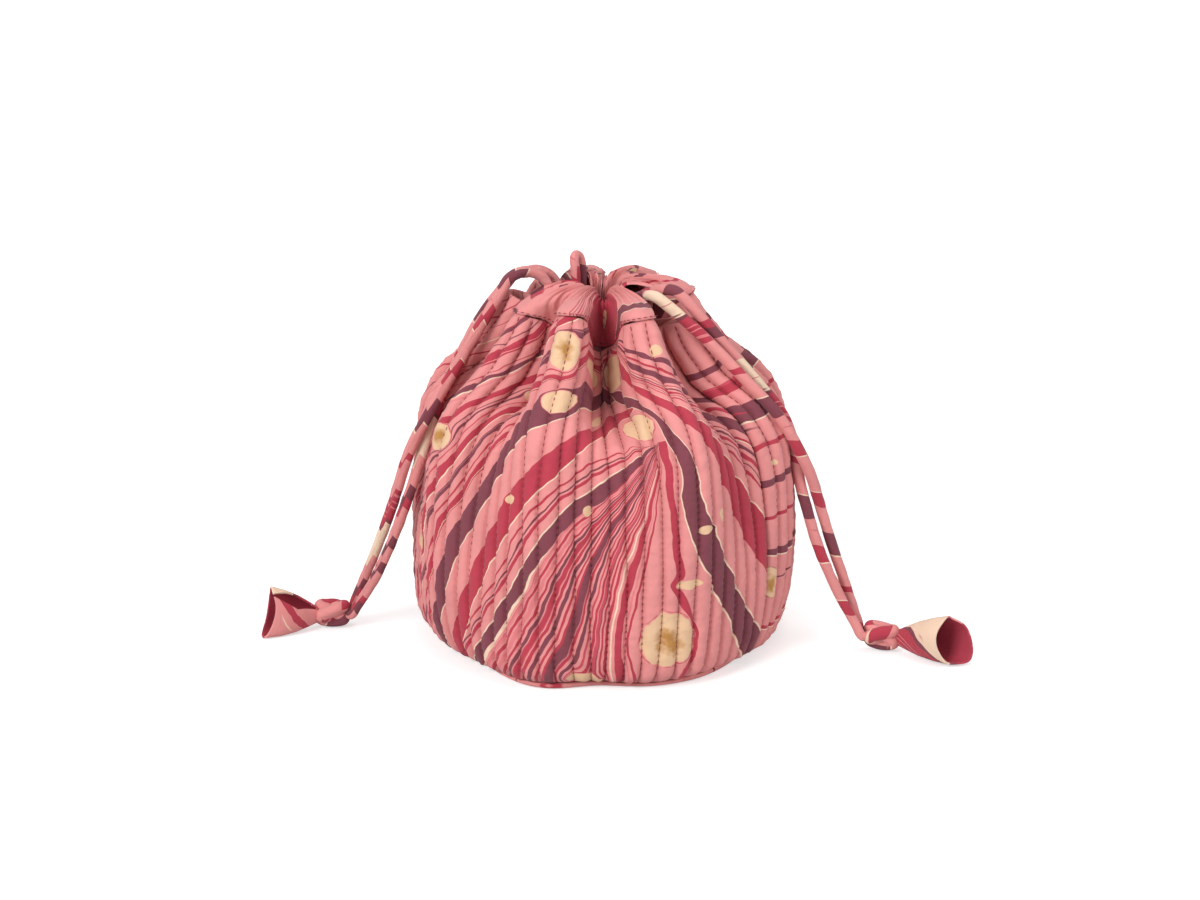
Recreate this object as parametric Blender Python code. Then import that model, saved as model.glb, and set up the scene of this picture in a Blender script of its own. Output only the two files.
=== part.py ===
"""Kinchaku drawstring pouch with a round base, quilted wall and gathered mouth.

Lengths are in millimetres until the mesh is made, then in metres. The origin is
the middle of the base on the ground, +Z is up and -Y is the front. Azimuths are
in degrees from the front, growing towards +X.

The wall keeps the length of its cloth: each level is a closed meander whose
tangent swings by FOLD_SWING, so a deeper swing makes a smaller ring with deeper
folds, and the height grows by what is left of the cloth along each meridian.
"""
import math

import bmesh
import bpy
from mathutils import Vector
from mathutils.bvhtree import BVHTree

MM = 0.001
RING_RADIUS = 91.6              # radius of the wall's mid-surface without folds
CLOTH = 2.0 * math.pi * RING_RADIUS    # length of cloth around
CHANNELS = 70                   # quilting channels around
FINE = 720                      # integration steps around
SEAM_AZ = 58.0                  # right side seam, the left one is opposite
HALF = CHANNELS // 2
GAP = 0.3
CORD_DIAMETER = 5.8
SQUEEZED_DIAMETER = 4.8                  # the soft cord inside the casing

WALL_LENGTH = 186.0             # cloth from the base seam to the casing seam
PUFF_THICK = 1.95               # middle of a quilting channel, outwards
SEAM_THICK = 0.75               # stitched groove, outwards
LINING_THICK = 0.95             # lining side, inwards
BASE_THICK = 2.2                # middle of the base
EDGE_WIDTH = 6.0                # rounded rim of the base
CASING_THICK = 0.8              # cloth of the cord channel
CASING_RADIUS = 16.0            # middle of the gathered crest
BELL_THICK = 1.1                # cloth of the cord ends

RIDGES = (-22.0, 28.0, 70.0, 110.0, 148.0, 187.0, 222.0, 260.0, 298.0, 338.0)
DEPTH = (1.03, 1.0, 0.93, 0.97, 0.95, 0.98, 0.94, 0.98, 0.95)

# height along the cloth -> swing of the tangent (radians)
SWING = ((0, .05), (20, .06), (40, .12), (60, .22), (75, .32), (90, .43),
         (103, .55), (114, .68), (124, .84), (134, 1.03), (144, 1.23),
         (155, 1.41), (166, 1.52), (176, 1.58), (186, 1.61))
# height along the cloth -> scale of the ring (rounded bottom corner)
CORNER = ((0, .925), (4, .955), (9, .985), (16, 1.0), (30, 1.004), (60, 1.008),
          (90, 1.01), (110, 1.01), (130, 1.0), (150, .985), (165, .95),
          (176, .885), (186, .83))
# azimuth -> scale of the ring at the base, where the soft wall is dented
DENTS = ((-180, 1.0), (-114, 1.0), (-93, .975), (-68, .88), (-47, .90), (-31, .99),
         (-20, 1.03), (-12, 1.0), (-4, .93), (5, .945), (14, .985), (33, .985),
         (44, .965), (69, .89), (84, .925), (97, .99), (110, 1.0), (180, 1.0))
DENT_RISE = 52.0                # cloth height at which the dents end
# height along the cloth -> shift of the front valley towards the middle
PULL = ((0, 0), (148, 0), (157, 1.2), (166, 3.0), (176, 5.0), (186, 7.0))
SIDE_PULL = 0.12                # share of it in the other valleys
ROWS = (0, 6, 14, 42, 68, 88, 102, 114, 126, 137, 148, 160, 173, 186)
ROWS = tuple(WALL_LENGTH * row / ROWS[-1] for row in ROWS)
TOP = ROWS[-1]


def lerp_table(table, x):
    """Return the value of a (position, value) table at x, smoothly joined."""
    if x <= table[0][0]:
        return table[0][1]
    for (x0, y0), (x1, y1) in zip(table, table[1:]):
        if x <= x1:
            return y0 + (y1 - y0) * (x - x0) / (x1 - x0)
    return table[-1][1]


def fold_phase():
    """Return fold phase and depth at FINE places around, one turn per fold."""
    phase, depth = [], []
    for i in range(FINE):
        az = -180.0 + 360.0 * i / FINE
        base = az if az >= RIDGES[0] else az + 360.0
        k = max(j for j in range(9) if RIDGES[j] <= base)
        part = (base - RIDGES[k]) / (RIDGES[k + 1] - RIDGES[k])
        turns = k + part - (0 if az >= RIDGES[0] else 9)
        phase.append(turns)
        depth.append(DEPTH[k] * (1 - part) + DEPTH[(k + 1) % 9] * part)
    smooth = []
    for i in range(FINE):
        total = 0.0
        for d in range(-14, 15):
            j = i + d
            total += phase[j % FINE] + (9 if j >= FINE else (-9 if j < 0 else 0))
        smooth.append(total / 29.0)
    return smooth, depth


PHASE, DEEP = fold_phase()
DENTED = [sum(lerp_table(DENTS, (360.0 * (i + d) / FINE) % 360.0 - 180.0)
              for d in range(-12, 13)) / 25.0 for i in range(FINE + 1)]


def section(v):
    """Return FINE+1 points (x, y) of the wall's mid-surface at cloth height v.

    Args:
        v: height along the cloth in mm.
    Returns:
        A list of points that starts at azimuth -180 degrees.
    """
    nominal = v / WALL_LENGTH * SWING[-1][0]
    swing = lerp_table(SWING, nominal)
    scale = lerp_table(CORNER, nominal)
    step = CLOTH / FINE
    x = y = 0.0
    pts = [(0.0, 0.0)]
    for i in range(FINE):
        az = -180.0 + 360.0 * (i + 0.5) / FINE
        a = math.radians(az) + swing * DEEP[i] * math.sin(2 * math.pi * PHASE[i])
        x += math.cos(a) * step
        y += math.sin(a) * step
        pts.append((x, y))
    ex, ey = pts[-1]
    pts = [(px - ex * i / FINE, py - ey * i / FINE) for i, (px, py) in enumerate(pts)]
    # centre on the mean of the ring
    mx = sum(p[0] for p in pts[:-1]) / FINE
    my = sum(p[1] for p in pts[:-1]) / FINE
    lean = lerp_table(((0, 0), (60, 1.6), (110, 1.8), (150, 0.4), (186, 0.0)), nominal)
    soft = max(0.0, 1.0 - v / DENT_RISE) ** 2
    pull = lerp_table(PULL, nominal)
    out = []
    for i, (px, py) in enumerate(pts):
        size = scale * (1.0 + (DENTED[i] - 1.0) * soft)
        qx, qy = (px - mx) * size + lean, (py - my) * size
        turns = PHASE[i % FINE] % 9.0
        valley = max(0.0, -math.cos(2 * math.pi * turns)) ** 1.5
        if turns > 1.0:
            valley *= SIDE_PULL
        far = math.hypot(qx, qy)
        out.append((qx * (1 - pull * valley / far), qy * (1 - pull * valley / far)))
    return out


LEVELS = [TOP * i / 62.0 for i in range(63)]
SECTIONS = [section(v) for v in LEVELS]


def heights():
    """Return the height of each level at each place around, in mm."""
    z = [[3.7 + 0.5 * math.sin(2 * math.pi * 7 * i / FINE) for i in range(FINE + 1)]]
    z[0][-1] = z[0][0]
    for k in range(1, len(LEVELS)):
        dv = LEVELS[k] - LEVELS[k - 1]
        row = []
        for i in range(FINE + 1):
            dx = SECTIONS[k][i][0] - SECTIONS[k - 1][i][0]
            dy = SECTIONS[k][i][1] - SECTIONS[k - 1][i][1]
            rise = math.sqrt(max(dv * dv - dx * dx - dy * dy, (0.22 * dv) ** 2))
            row.append(z[-1][i] + rise)
        z.append(row)
    return z


HEIGHTS = heights()


def wall(az, v):
    """Return the mid-surface point at azimuth az (degrees) and cloth height v."""
    f = ((az + 180.0) % 360.0) / 360.0 * FINE
    i = min(int(f), FINE - 1)
    t = f - i
    g = max(0.0, min(1.0, v / TOP)) * (len(LEVELS) - 1)
    k = min(int(g), len(LEVELS) - 2)
    u = g - k

    def at(kk):
        a, b = SECTIONS[kk][i], SECTIONS[kk][i + 1]
        za, zb = HEIGHTS[kk][i], HEIGHTS[kk][i + 1]
        return Vector((a[0] + (b[0] - a[0]) * t, a[1] + (b[1] - a[1]) * t,
                       za + (zb - za) * t))
    return at(k).lerp(at(k + 1), u)


def wall_normal(az, v):
    """Return the outward normal of the mid-surface."""
    v = min(max(v, 0.5), TOP - 0.5)
    du = wall(az + 0.4, v) - wall(az - 0.4, v)
    dv = wall(az, v + 0.5) - wall(az, v - 0.5)
    return du.cross(dv).normalized()


SKINS = []                      # outer faces of the wall, which the cords lie on
CHANNEL_SKINS = []              # outer faces of the casings


class Solid:
    """A closed triangle and quad mesh that is put together in millimetres."""

    def __init__(self, name):
        """Start an empty solid.

        Args:
            name: the node's name.
        """
        self.name = name
        self.verts = []
        self.faces = []

    def add(self, points):
        """Add points and return their indices."""
        start = len(self.verts)
        self.verts.extend(Vector(p) for p in points)
        return list(range(start, len(self.verts)))

    def grid(self, rows, flip=False):
        """Join rows of indices to quads."""
        for a, b in zip(rows, rows[1:]):
            for i in range(len(a) - 1):
                quad = (a[i], a[i + 1], b[i + 1], b[i])
                self.faces.append(tuple(reversed(quad)) if flip else quad)

    def zip_lines(self, a, b, flip=False):
        """Join two lines of indices of different length to triangles."""
        i = j = 0
        while i < len(a) - 1 or j < len(b) - 1:
            ta = (i + 1) / (len(a) - 1) if i < len(a) - 1 else 9.0
            tb = (j + 1) / (len(b) - 1) if j < len(b) - 1 else 9.0
            if ta <= tb:
                tri = (a[i], a[i + 1], b[j])
                i += 1
            else:
                tri = (a[i], b[j + 1], b[j])
                j += 1
            self.faces.append(tuple(reversed(tri)) if flip else tri)

    def build(self, smooth=False):
        """Make the object and return it."""
        mesh = bpy.data.meshes.new(self.name)
        mesh.from_pydata([v * MM for v in self.verts], [], self.faces)
        mesh.validate()
        bm = bmesh.new()
        bm.from_mesh(mesh)
        bmesh.ops.triangulate(bm, faces=bm.faces[:])
        bmesh.ops.recalc_face_normals(bm, faces=bm.faces[:])
        if bm.calc_volume(signed=True) < 0:
            bmesh.ops.reverse_faces(bm, faces=bm.faces[:])
        bm.to_mesh(mesh)
        bm.free()
        obj = bpy.data.objects.new(self.name, mesh)
        bpy.context.collection.objects.link(obj)
        return obj


def panel(name, start):
    """Build one half of the quilted wall.

    Args:
        name: the node's name.
        start: azimuth of the half's first seam in degrees.
    Returns:
        The Blender object.
    """
    solid = Solid(name)
    pitch = 360.0 / CHANNELS
    trim = GAP / 2 / RING_RADIUS * 180.0 / math.pi
    outer, inner = [], []
    for v in ROWS:
        row = []
        for c in range(2 * HALF + 1):
            az = start + pitch * c / 2.0
            if c == 0:
                az += trim * 1.4
            if c == 2 * HALF:
                az -= trim * 1.4
            if c % 2 and 0 < v < TOP:
                puff = PUFF_THICK + 0.25 * math.sin(1.7 * c + 0.11 * v)
            else:
                puff = SEAM_THICK if v not in (0, TOP) else (SEAM_THICK if c % 2 == 0 else 1.1)
            row.append(wall(az, v) + wall_normal(az, v) * puff)
        outer.append(solid.add(row))
        row = []
        for c in range(HALF + 1):
            az = start + pitch * c
            if c == 0:
                az += trim * 1.4
            if c == HALF:
                az -= trim * 1.4
            deep = LINING_THICK + (0.8 if v >= ROWS[-2] else 0.0)
            row.append(wall(az, v) - wall_normal(az, v) * deep)
        inner.append(solid.add(row))
    solid.grid(outer)
    SKINS.extend([solid.verts[q] for q in face] for face in solid.faces)
    solid.grid(inner, flip=True)
    solid.zip_lines(outer[0], inner[0], flip=True)
    solid.zip_lines(outer[-1], inner[-1])
    left_o, left_i = [r[0] for r in outer], [r[0] for r in inner]
    right_o, right_i = [r[-1] for r in outer], [r[-1] for r in inner]
    solid.zip_lines(left_o, left_i)
    solid.zip_lines(right_o, right_i, flip=True)
    return solid.build()


def base_panel():
    """Build the round bottom with its flat underside."""
    solid = Solid("base_panel")
    n = CHANNELS
    foot, edge_low, edge_top, top_in = [], [], [], []
    for c in range(n):
        az = 360.0 * c / n
        p = wall(az, 0)
        r = Vector((p.x, p.y, 0))
        d = r.normalized()
        foot.append(r - d * EDGE_WIDTH)
        edge_low.append(r + d * 0.5 + Vector((0, 0, 0.8)))
        edge_top.append(r + d * 0.6 + Vector((0, 0, p.z - 1.35)))
        top_in.append(r - d * 5.0 + Vector((0, 0, BASE_THICK)))
    rings = [solid.add(x) for x in (foot, edge_low, edge_top, top_in)]
    for a, b in zip(rings, rings[1:]):
        for i in range(n):
            j = (i + 1) % n
            solid.faces.append((a[i], a[j], b[j], b[i]))
    low = solid.add([(0, 0, 0)])[0]
    high = solid.add([(0, 0, BASE_THICK)])[0]
    for i in range(n):
        j = (i + 1) % n
        solid.faces.append((rings[0][j], rings[0][i], low))
        solid.faces.append((rings[3][i], rings[3][j], high))
    return solid.build()


def casing_profile(az):
    """Return the outer points of the casing's cross-section at an azimuth."""
    seam = wall(az, TOP)
    a = math.radians(az)
    away = Vector((math.sin(a), -math.cos(a), 0))
    flat = Vector((seam.x, seam.y, 0))
    out = wall_normal(az, TOP)
    out = Vector((out.x, out.y, 0)).normalized()
    reach = flat.length
    bulge = 0.5 + 0.5 * max(0.0, min(1.0, (reach - 20.0) / 22.0))
    notch = sum(math.exp(-(((az - at + 180.0) % 360.0 - 180.0) / 15.0) ** 2)
                for at in (3.0, 177.0))
    crest = 177.4 + 1.5 * bulge + 2.0 * max(0.0, -math.cos(a)) - 5.0 * notch
    low = seam.z + GAP + 0.9
    lift = crest - low

    def mix(k, z, side, least):
        p = flat.lerp(away * CASING_RADIUS, k) + side
        return p * max(1.0, least / p.length) + Vector((0, 0, z))

    pts = [flat + out * 0.9 + Vector((0, 0, low)),
           mix(.10, low + lift * .34, out * 1.4, 13.8),
           mix(.32, low + lift * .68, out.lerp(away, .4) * 1.5, 17.3),
           mix(.60, low + lift * .92, away * 1.2, 17.5),
           away * (CASING_RADIUS - 0.8) + Vector((0, 0, crest)),
           away * 9.8 + Vector((0, 0, crest - 2.6)),
           away * 8.9 + Vector((0, 0, 165.5)),
           away * 9.2 + Vector((0, 0, 156.5)),
           (away * 13.0).lerp(flat, .35) - out * 0.8
           + Vector((0, 0, low + 1.5 + 0.7 * (157.0 - low)))]
    pts.append(flat - out * 0.9 + Vector((0, 0, low)))
    return pts


def inset(points, thick):
    """Return the inner side of a channel loop, rung by rung.

    Args:
        points: closed loop of ten 3-D points, from the seam's outer edge over the
            crest to the seam's inner edge.
        thick: distance moved along each rung.
    """
    rungs = [(points[k] + points[9 - k]) / 2 for k in range(5)]
    seam = rungs[0].lerp(rungs[1], 0.5)
    part = (points[0] - points[9]) * 0.12
    moved = [seam + part]
    for i in range(1, 9):
        k = min(i, 9 - i, 3)
        d = rungs[k] - points[i]
        moved.append(points[i] + d.normalized() * min(thick, d.length * 0.4))
    moved.append(seam - part)
    for i in (8, 9):
        moved[i] = moved[i] + Vector((0, 0, 1.1))
    moved[0] = moved[0] + Vector((0, 0, 1.1))
    return moved


def casing(name, start, skip_first, skip_last):
    """Build one half of the gathered cord channel, a tube with open ends.

    Args:
        name: the node's name.
        start: azimuth of the half's first seam in degrees.
        skip_first: quilting channels left open at the first seam.
        skip_last: quilting channels left open at the last seam.
    """
    solid = Solid(name)
    pitch = 360.0 / CHANNELS
    outer, inner = [], []
    cols = 24
    for c in range(cols + 1):
        az = start + pitch * (skip_first + (HALF - skip_first - skip_last) * c / cols)
        ring = casing_profile(az)
        outer.append(solid.add(ring))
        inner.append(solid.add(inset(ring, CASING_THICK)))
    n = len(outer[0])
    for rings, flip in ((outer, False), (inner, True)):
        for a, b in zip(rings, rings[1:]):
            for i in range(n):
                j = (i + 1) % n
                quad = (a[i], b[i], b[j], a[j])
                solid.faces.append(tuple(reversed(quad)) if flip else quad)
                if not flip:
                    CHANNEL_SKINS.append([solid.verts[q] for q in quad])
    for k, flip in ((0, False), (-1, True)):
        for i in range(n):
            j = (i + 1) % n
            quad = (outer[k][i], outer[k][j], inner[k][j], inner[k][i])
            solid.faces.append(tuple(reversed(quad)) if flip else quad)
    return solid.build()


def catmull(points, step):
    """Return an even polyline through the control points."""
    pts = [Vector(p) for p in points]
    pts = [pts[0] * 2 - pts[1]] + pts + [pts[-1] * 2 - pts[-2]]
    dense = []
    for a, b, c, d in zip(pts, pts[1:], pts[2:], pts[3:]):
        for i in range(16):
            t = i / 16.0
            dense.append(0.5 * ((2 * b) + (c - a) * t + (2 * a - 5 * b + 4 * c - d) * t * t
                                + (3 * b - a - 3 * c + d) * t ** 3))
    dense.append(pts[-2])
    out, left = [dense[0]], step
    for a, b in zip(dense, dense[1:]):
        seg = (b - a).length
        while seg > left and seg > 1e-9:
            a = a.lerp(b, left / seg)
            out.append(a.copy())
            seg -= left
            left = step
        left -= seg
    if (out[-1] - dense[-1]).length > step * 0.4:
        out.append(dense[-1])
    else:
        out[-1] = dense[-1]
    return out


def skin_tree(skins):
    """Return a BVH tree of some faces, in millimetres."""
    verts, faces = [], []
    for corners in skins:
        faces.append(list(range(len(verts), len(verts) + len(corners))))
        verts.extend(corners)
    return BVHTree.FromPolygons(verts, faces)


def relax(strands, trees, clear, turns, rounds=60):
    """Push strands of cord off the cloth, the ground and each other.

    Args:
        strands: lists of points, whose end points stay where they are.
        trees: BVH trees of the wall and of the casings.
        clear: least distance of a strand's centreline from the solids.
        turns: lists of points of the cords' turns, which stay where they are.
        rounds: number of passes.
    Returns:
        The new strands.
    """
    out = [[p.copy() for p in strand] for strand in strands]
    held = [sum(math.hypot(p.x, p.y) < (40.0 if s < 2 else 49.0) for p in strand)
            for s, strand in enumerate(strands)]
    for turn in range(rounds):
        for s, pts in enumerate(out):
            if turn < rounds - 8:
                old = [p.copy() for p in pts]
                for i in range(held[s], len(pts) - 1):
                    pts[i] = old[i] * 0.6 + (old[i - 1] + old[i + 1]) * 0.2
            for i in range(held[s], len(pts) - 1):
                for k, tree in enumerate(trees):
                    near, normal, _, dist = tree.find_nearest(pts[i])
                    side = (pts[i] - near).dot(normal)
                    if k == 0 and side < -0.8 * dist and dist < 16:
                        pts[i] = near + normal * clear
                    elif dist < clear:
                        pts[i] = near + (pts[i] - near).normalized() * clear
                pts[i].z = max(pts[i].z, clear)
                for t, other in enumerate(out + list(turns)):
                    if t == s or (t >= len(out) and math.hypot(pts[i].x, pts[i].y) < 17.5):
                        continue
                    room = CORD_DIAMETER + 0.7 if t < len(out) else CORD_DIAMETER
                    for q, r in zip(other[1:-1], other[2:]):
                        k = max(0.0, min(1.0, (pts[i] - q).dot(r - q) / (r - q).length_squared))
                        d = pts[i] - q.lerp(r, k)
                        if 0 < d.length < room:
                            pts[i] = pts[i] + d.normalized() * (room - d.length) * 0.5
    return out


def tube(name, path, radii, sides=6):
    """Build a round cord along a path with capped ends."""
    solid = Solid(name)
    rings = []
    up = Vector((0, 0, 1))
    for i, p in enumerate(path):
        t = (path[min(i + 1, len(path) - 1)] - path[max(i - 1, 0)]).normalized()
        side = up - t * up.dot(t)
        if side.length < 0.05:
            side = Vector((1, 0, 0)) - t * t.x
        side.normalize()
        up = side
        other = t.cross(side)
        rings.append(solid.add([p + (side * math.cos(2 * math.pi * k / sides)
                                     + other * math.sin(2 * math.pi * k / sides)) * radii[i]
                                for k in range(sides)]))
    for a, b in zip(rings, rings[1:]):
        for i in range(sides):
            j = (i + 1) % sides
            solid.faces.append((a[i], a[j], b[j], b[i]))
    solid.faces.append(tuple(reversed(rings[0])))
    solid.faces.append(tuple(rings[-1]))
    return solid.build()


# control points of the free strands, from the opening to the knot
RIGHT_A = ((34.4, -18.0, 179.3), (43.1, -15.0, 172.8), (50.9, -14.0, 164.3),
           (53.8, -16.0, 157.6), (58.1, -18.0, 151.8), (62.0, -19.0, 146.1),
           (67.3, -20.0, 139.9), (72.1, -21.0, 135.1), (76.0, -22.0, 129.8),
           (81.8, -23.0, 122.7), (88.7, -24.0, 111.6), (92.8, -25.0, 98.1),
           (95.8, -27.0, 85.9), (99.2, -30.0, 74.4), (101.2, -32.0, 63.3),
           (103.8, -34.0, 50.3), (110.1, -32.5, 33.7), (115.7, -31.9, 24.5),
           (122.1, -33.4, 15.0), (127.5, -34.2, 8.8))
RIGHT_B = ((27.6, -24.5, 177.6), (35.2, -26.0, 173.4), (43.9, -24.0, 166.8),
           (53.6, -22.5, 157.0), (56.0, -24.0, 151.2), (59.8, -25.5, 146.0),
           (64.6, -27.0, 139.8), (69.4, -28.0, 133.6), (73.7, -30.0, 127.9),
           (77.6, -31.0, 121.7), (84.5, -31.0, 109.7), (90.6, -28.0, 100.1),
           (97.8, -24.0, 92.3), (101.9, -22.0, 85.4), (103.5, -21.5, 79.0),
           (106.1, -22.0, 70.6), (110.1, -23.0, 61.0), (112.2, -24.0, 53.1),
           (115.3, -24.8, 40.4), (121.5, -24.7, 27.1), (125.6, -26.7, 16.0),
           (127.8, -28.7, 7.4))
LEFT_A = ((-30.2, 12.0, 179.5), (-37.9, 8.0, 181.3), (-46.0, 3.0, 180.0), (-54.0, -2.0, 172.5),
           (-56.1, -6.0, 156.4), (-65.8, -10.0, 145.3), (-76.1, -12.0, 129.0),
           (-84.3, -14.0, 120.0), (-90.8, -15.0, 107.7), (-95.3, -16.0, 97.0),
           (-96.5, -16.0, 85.3), (-100.2, -15.0, 73.6), (-102.6, -12.0, 58.7),
           (-107.5, -8.0, 48.7), (-114.0, -3.2, 35.9), (-121.5, 0.9, 24.6),
           (-124.9, 3.7, 15.0), (-125.2, 4.7, 8.0))
LEFT_B = ((-28.4, 20.0, 179.0), (-37.1, 17.0, 178.8), (-46.2, 13.0, 179.0),
           (-56.5, 10.0, 169.0), (-58.4, 4.0, 152.4), (-67.2, 0.0, 141.7), (-76.0, -3.0, 130.0),
           (-83.8, -6.0, 118.4), (-89.8, -8.0, 103.8), (-90.6, -14.0, 92.1),
           (-92.4, -20.0, 82.1), (-96.6, -20.0, 68.8), (-99.8, -19.0, 56.0),
           (-102.6, -16.8, 45.0), (-107.6, -11.3, 32.8), (-113.0, -7.0, 23.4),
           (-119.4, -3.8, 14.0), (-124.9, -1.4, 7.6))


def polar(az, far, z):
    """Return the point at an azimuth in degrees, a distance and a height."""
    a = math.radians(az)
    return Vector((math.sin(a) * far, -math.cos(a) * far, z))


def ring_path(level, gap_az, wide, slack, step):
    """Return the turn of a cord through both casings.

    Args:
        level: height of the turn.
        gap_az: azimuth of the opening where the cord leaves.
        wide: half of the angle left open there.
        slack: points (degrees off the other opening, distance, height above the
            turn) of the slack that stands out there, for one side.
        step: spacing of the points.
    """
    far = gap_az + 180.0
    reach = max(off for off, _, _ in slack)
    pts = []
    az = gap_az + wide
    while az < far - reach - 6.0:
        pts.append(polar(az, 13.4, level))
        az += 12.0
    pts += [polar(far - off, r, level + up) for off, r, up in slack]
    pts += [polar(far + off, r, level + up) for off, r, up in reversed(slack) if off]
    az = far + 180.0 - wide
    tail = []
    while az > far + reach + 6.0:
        tail.append(polar(az, 13.4, level))
        az -= 12.0
    return catmull(pts + list(reversed(tail)), step)


def knot(name, centre, axis, long, wide):
    """Build a lumpy overhand knot as one solid."""
    solid = Solid(name)
    centre, axis = Vector(centre), Vector(axis).normalized()
    side = axis.cross(Vector((0, 0, 1))).normalized()
    up = side.cross(axis)
    rings = []
    n = 12
    for k in range(1, 8):
        t = math.pi * k / 8
        ring = []
        for i in range(n):
            a = 2 * math.pi * i / n
            lump = 1.0 + 0.11 * math.cos(3 * a + 2.4 * math.cos(t) * 1.6)
            r = wide / 2 * math.sin(t) ** 0.8 * lump
            ring.append(centre - axis * math.cos(t) * long / 2
                        + side * math.cos(a) * r + up * math.sin(a) * r * 0.94)
        rings.append(solid.add(ring))
    for a, b in zip(rings, rings[1:]):
        for i in range(n):
            j = (i + 1) % n
            solid.faces.append((a[i], a[j], b[j], b[i]))
    solid.faces.append(tuple(reversed(rings[0])))
    solid.faces.append(tuple(rings[-1]))
    return solid.build()


def bell(name, root, mouth, wide, tall):
    """Build a folded tulip-shaped cord end, a thin shell open at its mouth."""
    solid = Solid(name)
    root, mouth = Vector(root), Vector(mouth)
    axis = (mouth - root).normalized()
    side = axis.cross(Vector((0, 0, 1))).normalized()
    up = side.cross(axis)
    n = 16

    def skin(thin):
        rings = []
        for k, (t, r) in enumerate(((0.0, .30), (.18, .46), (.42, .66), (.70, .85), (1.0, 1.0))):
            ring = []
            for i in range(n):
                a = 2 * math.pi * i / n
                petal = 1.0 + 0.16 * t * math.cos(4 * a)
                w = (wide / 2 * r * petal - thin)
                h = (tall / 2 * r * petal - thin)
                tip = t + (0.12 * math.cos(4 * a) if k == 4 else 0.0)
                p = root.lerp(mouth, tip if thin == 0 or k else 0.06)
                p = p + side * math.cos(a) * w + up * math.sin(a) * h
                p.z = max(p.z, 0.25 + thin)
                ring.append(p)
            rings.append(solid.add(ring))
        return rings
    outer, inner = skin(0.0), skin(BELL_THICK)
    for rings, flip in ((outer, False), (inner, True)):
        for a, b in zip(rings, rings[1:]):
            for i in range(n):
                j = (i + 1) % n
                quad = (a[i], a[j], b[j], b[i])
                solid.faces.append(tuple(reversed(quad)) if flip else quad)
    for i in range(n):
        j = (i + 1) % n
        solid.faces.append((outer[-1][i], outer[-1][j], inner[-1][j], inner[-1][i]))
    solid.faces.append(tuple(reversed(outer[0])))
    solid.faces.append(tuple(inner[0]))
    return solid.build()


def main():
    """Build every node of the pouch."""
    for item in list(bpy.data.objects):
        bpy.data.objects.remove(item, do_unlink=True)
    panel("front_panel", SEAM_AZ - 180.0)
    panel("back_panel", SEAM_AZ)
    base_panel()
    casing("front_casing", SEAM_AZ - 180.0, 6.2, 4.6)
    casing("back_casing", SEAM_AZ, 4.6, 4.6)
    cloth = (skin_tree(SKINS), skin_tree(CHANNEL_SKINS))

    right_knot = (137.2, -31.3, 7.4)
    left_knot = (-134.4, 1.2, 7.4)
    clear = CORD_DIAMETER / 2 + 0.8
    reach = CORD_DIAMETER / 2

    standing = ((27, 13.4, 0), (18.5, 13.4, .6), (12.8, 13.2, 5.0), (12.4, 13.2, 11.0),
                (12.4, 13.6, 16.0), (8.8, 14.3, 20.4), (0, 14.6, 21.8))
    lying = ((30, 13.4, 0), (22, 15.2, 0), (12, 18.6, 0), (0, 20.0, 0))
    turns = {"right": ring_path(168.2, SEAM_AZ, 30.0, standing, 3.2),
             "left": ring_path(162.4, SEAM_AZ + 180.0, 30.0, lying, 6.0)}
    plans = (("right", RIGHT_A, 1), ("right", RIGHT_B, -1),
             ("left", LEFT_A, 1), ("left", LEFT_B, -1))
    paths = []
    for side, free, sign in plans:
        turn = turns[side]
        gap_az = SEAM_AZ if side == "right" else SEAM_AZ + 180.0
        lead = [polar(gap_az + sign * off, far, turn[0].z + up)
                for off, far, up in ((20.0, 14.7, .4), (12.5, 18.5, 3.2), (8.8, 24.5, 7.6))]
        paths.append(catmull([turn[0 if sign > 0 else -1]] + lead + list(free), 6.4))
    strands = relax(paths, cloth, clear, [turns["right"], turns["left"]])
    for side, (one, two) in (("right", strands[:2]), ("left", strands[2:])):
        whole = list(reversed(one)) + turns[side][1:-1] + two
        thick = [reach if math.hypot(p.x, p.y) > 24.0 else
                 (SQUEEZED_DIAMETER / 2 if p.z < 171.0 else 2.15) for p in whole]
        tube(side + "_cord", whole, thick)

    knot("right_knot", right_knot, (1, -.12, 0), 14.5, 13.0)
    knot("left_knot", left_knot, (-1, -.20, 0), 14.5, 13.0)
    bell("right_bell", (144.9, -32.6, 7.2), (171.0, -43.8, 12.2), 18.6, 25.0)
    bell("left_bell", (-141.9, -0.9, 7.2), (-164.6, -12.8, 13.0), 19.0, 26.5)


main()
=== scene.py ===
"""Kinchaku drawstring pouch: quilted marbled cloth, gathered cord channel, tied cords.

Lengths inside the classes are in millimetres, meshes are made in metres. The
origin is the middle of the base on the ground, -Y is the front. Azimuths are in
degrees from the front, growing towards +X.
"""
import logging
import math
from dataclasses import dataclass, field
from enum import Enum
from typing import Dict, List, Optional, Sequence, Tuple, Union

import bpy
import numpy as np
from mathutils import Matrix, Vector
from mathutils.bvhtree import BVHTree


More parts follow.
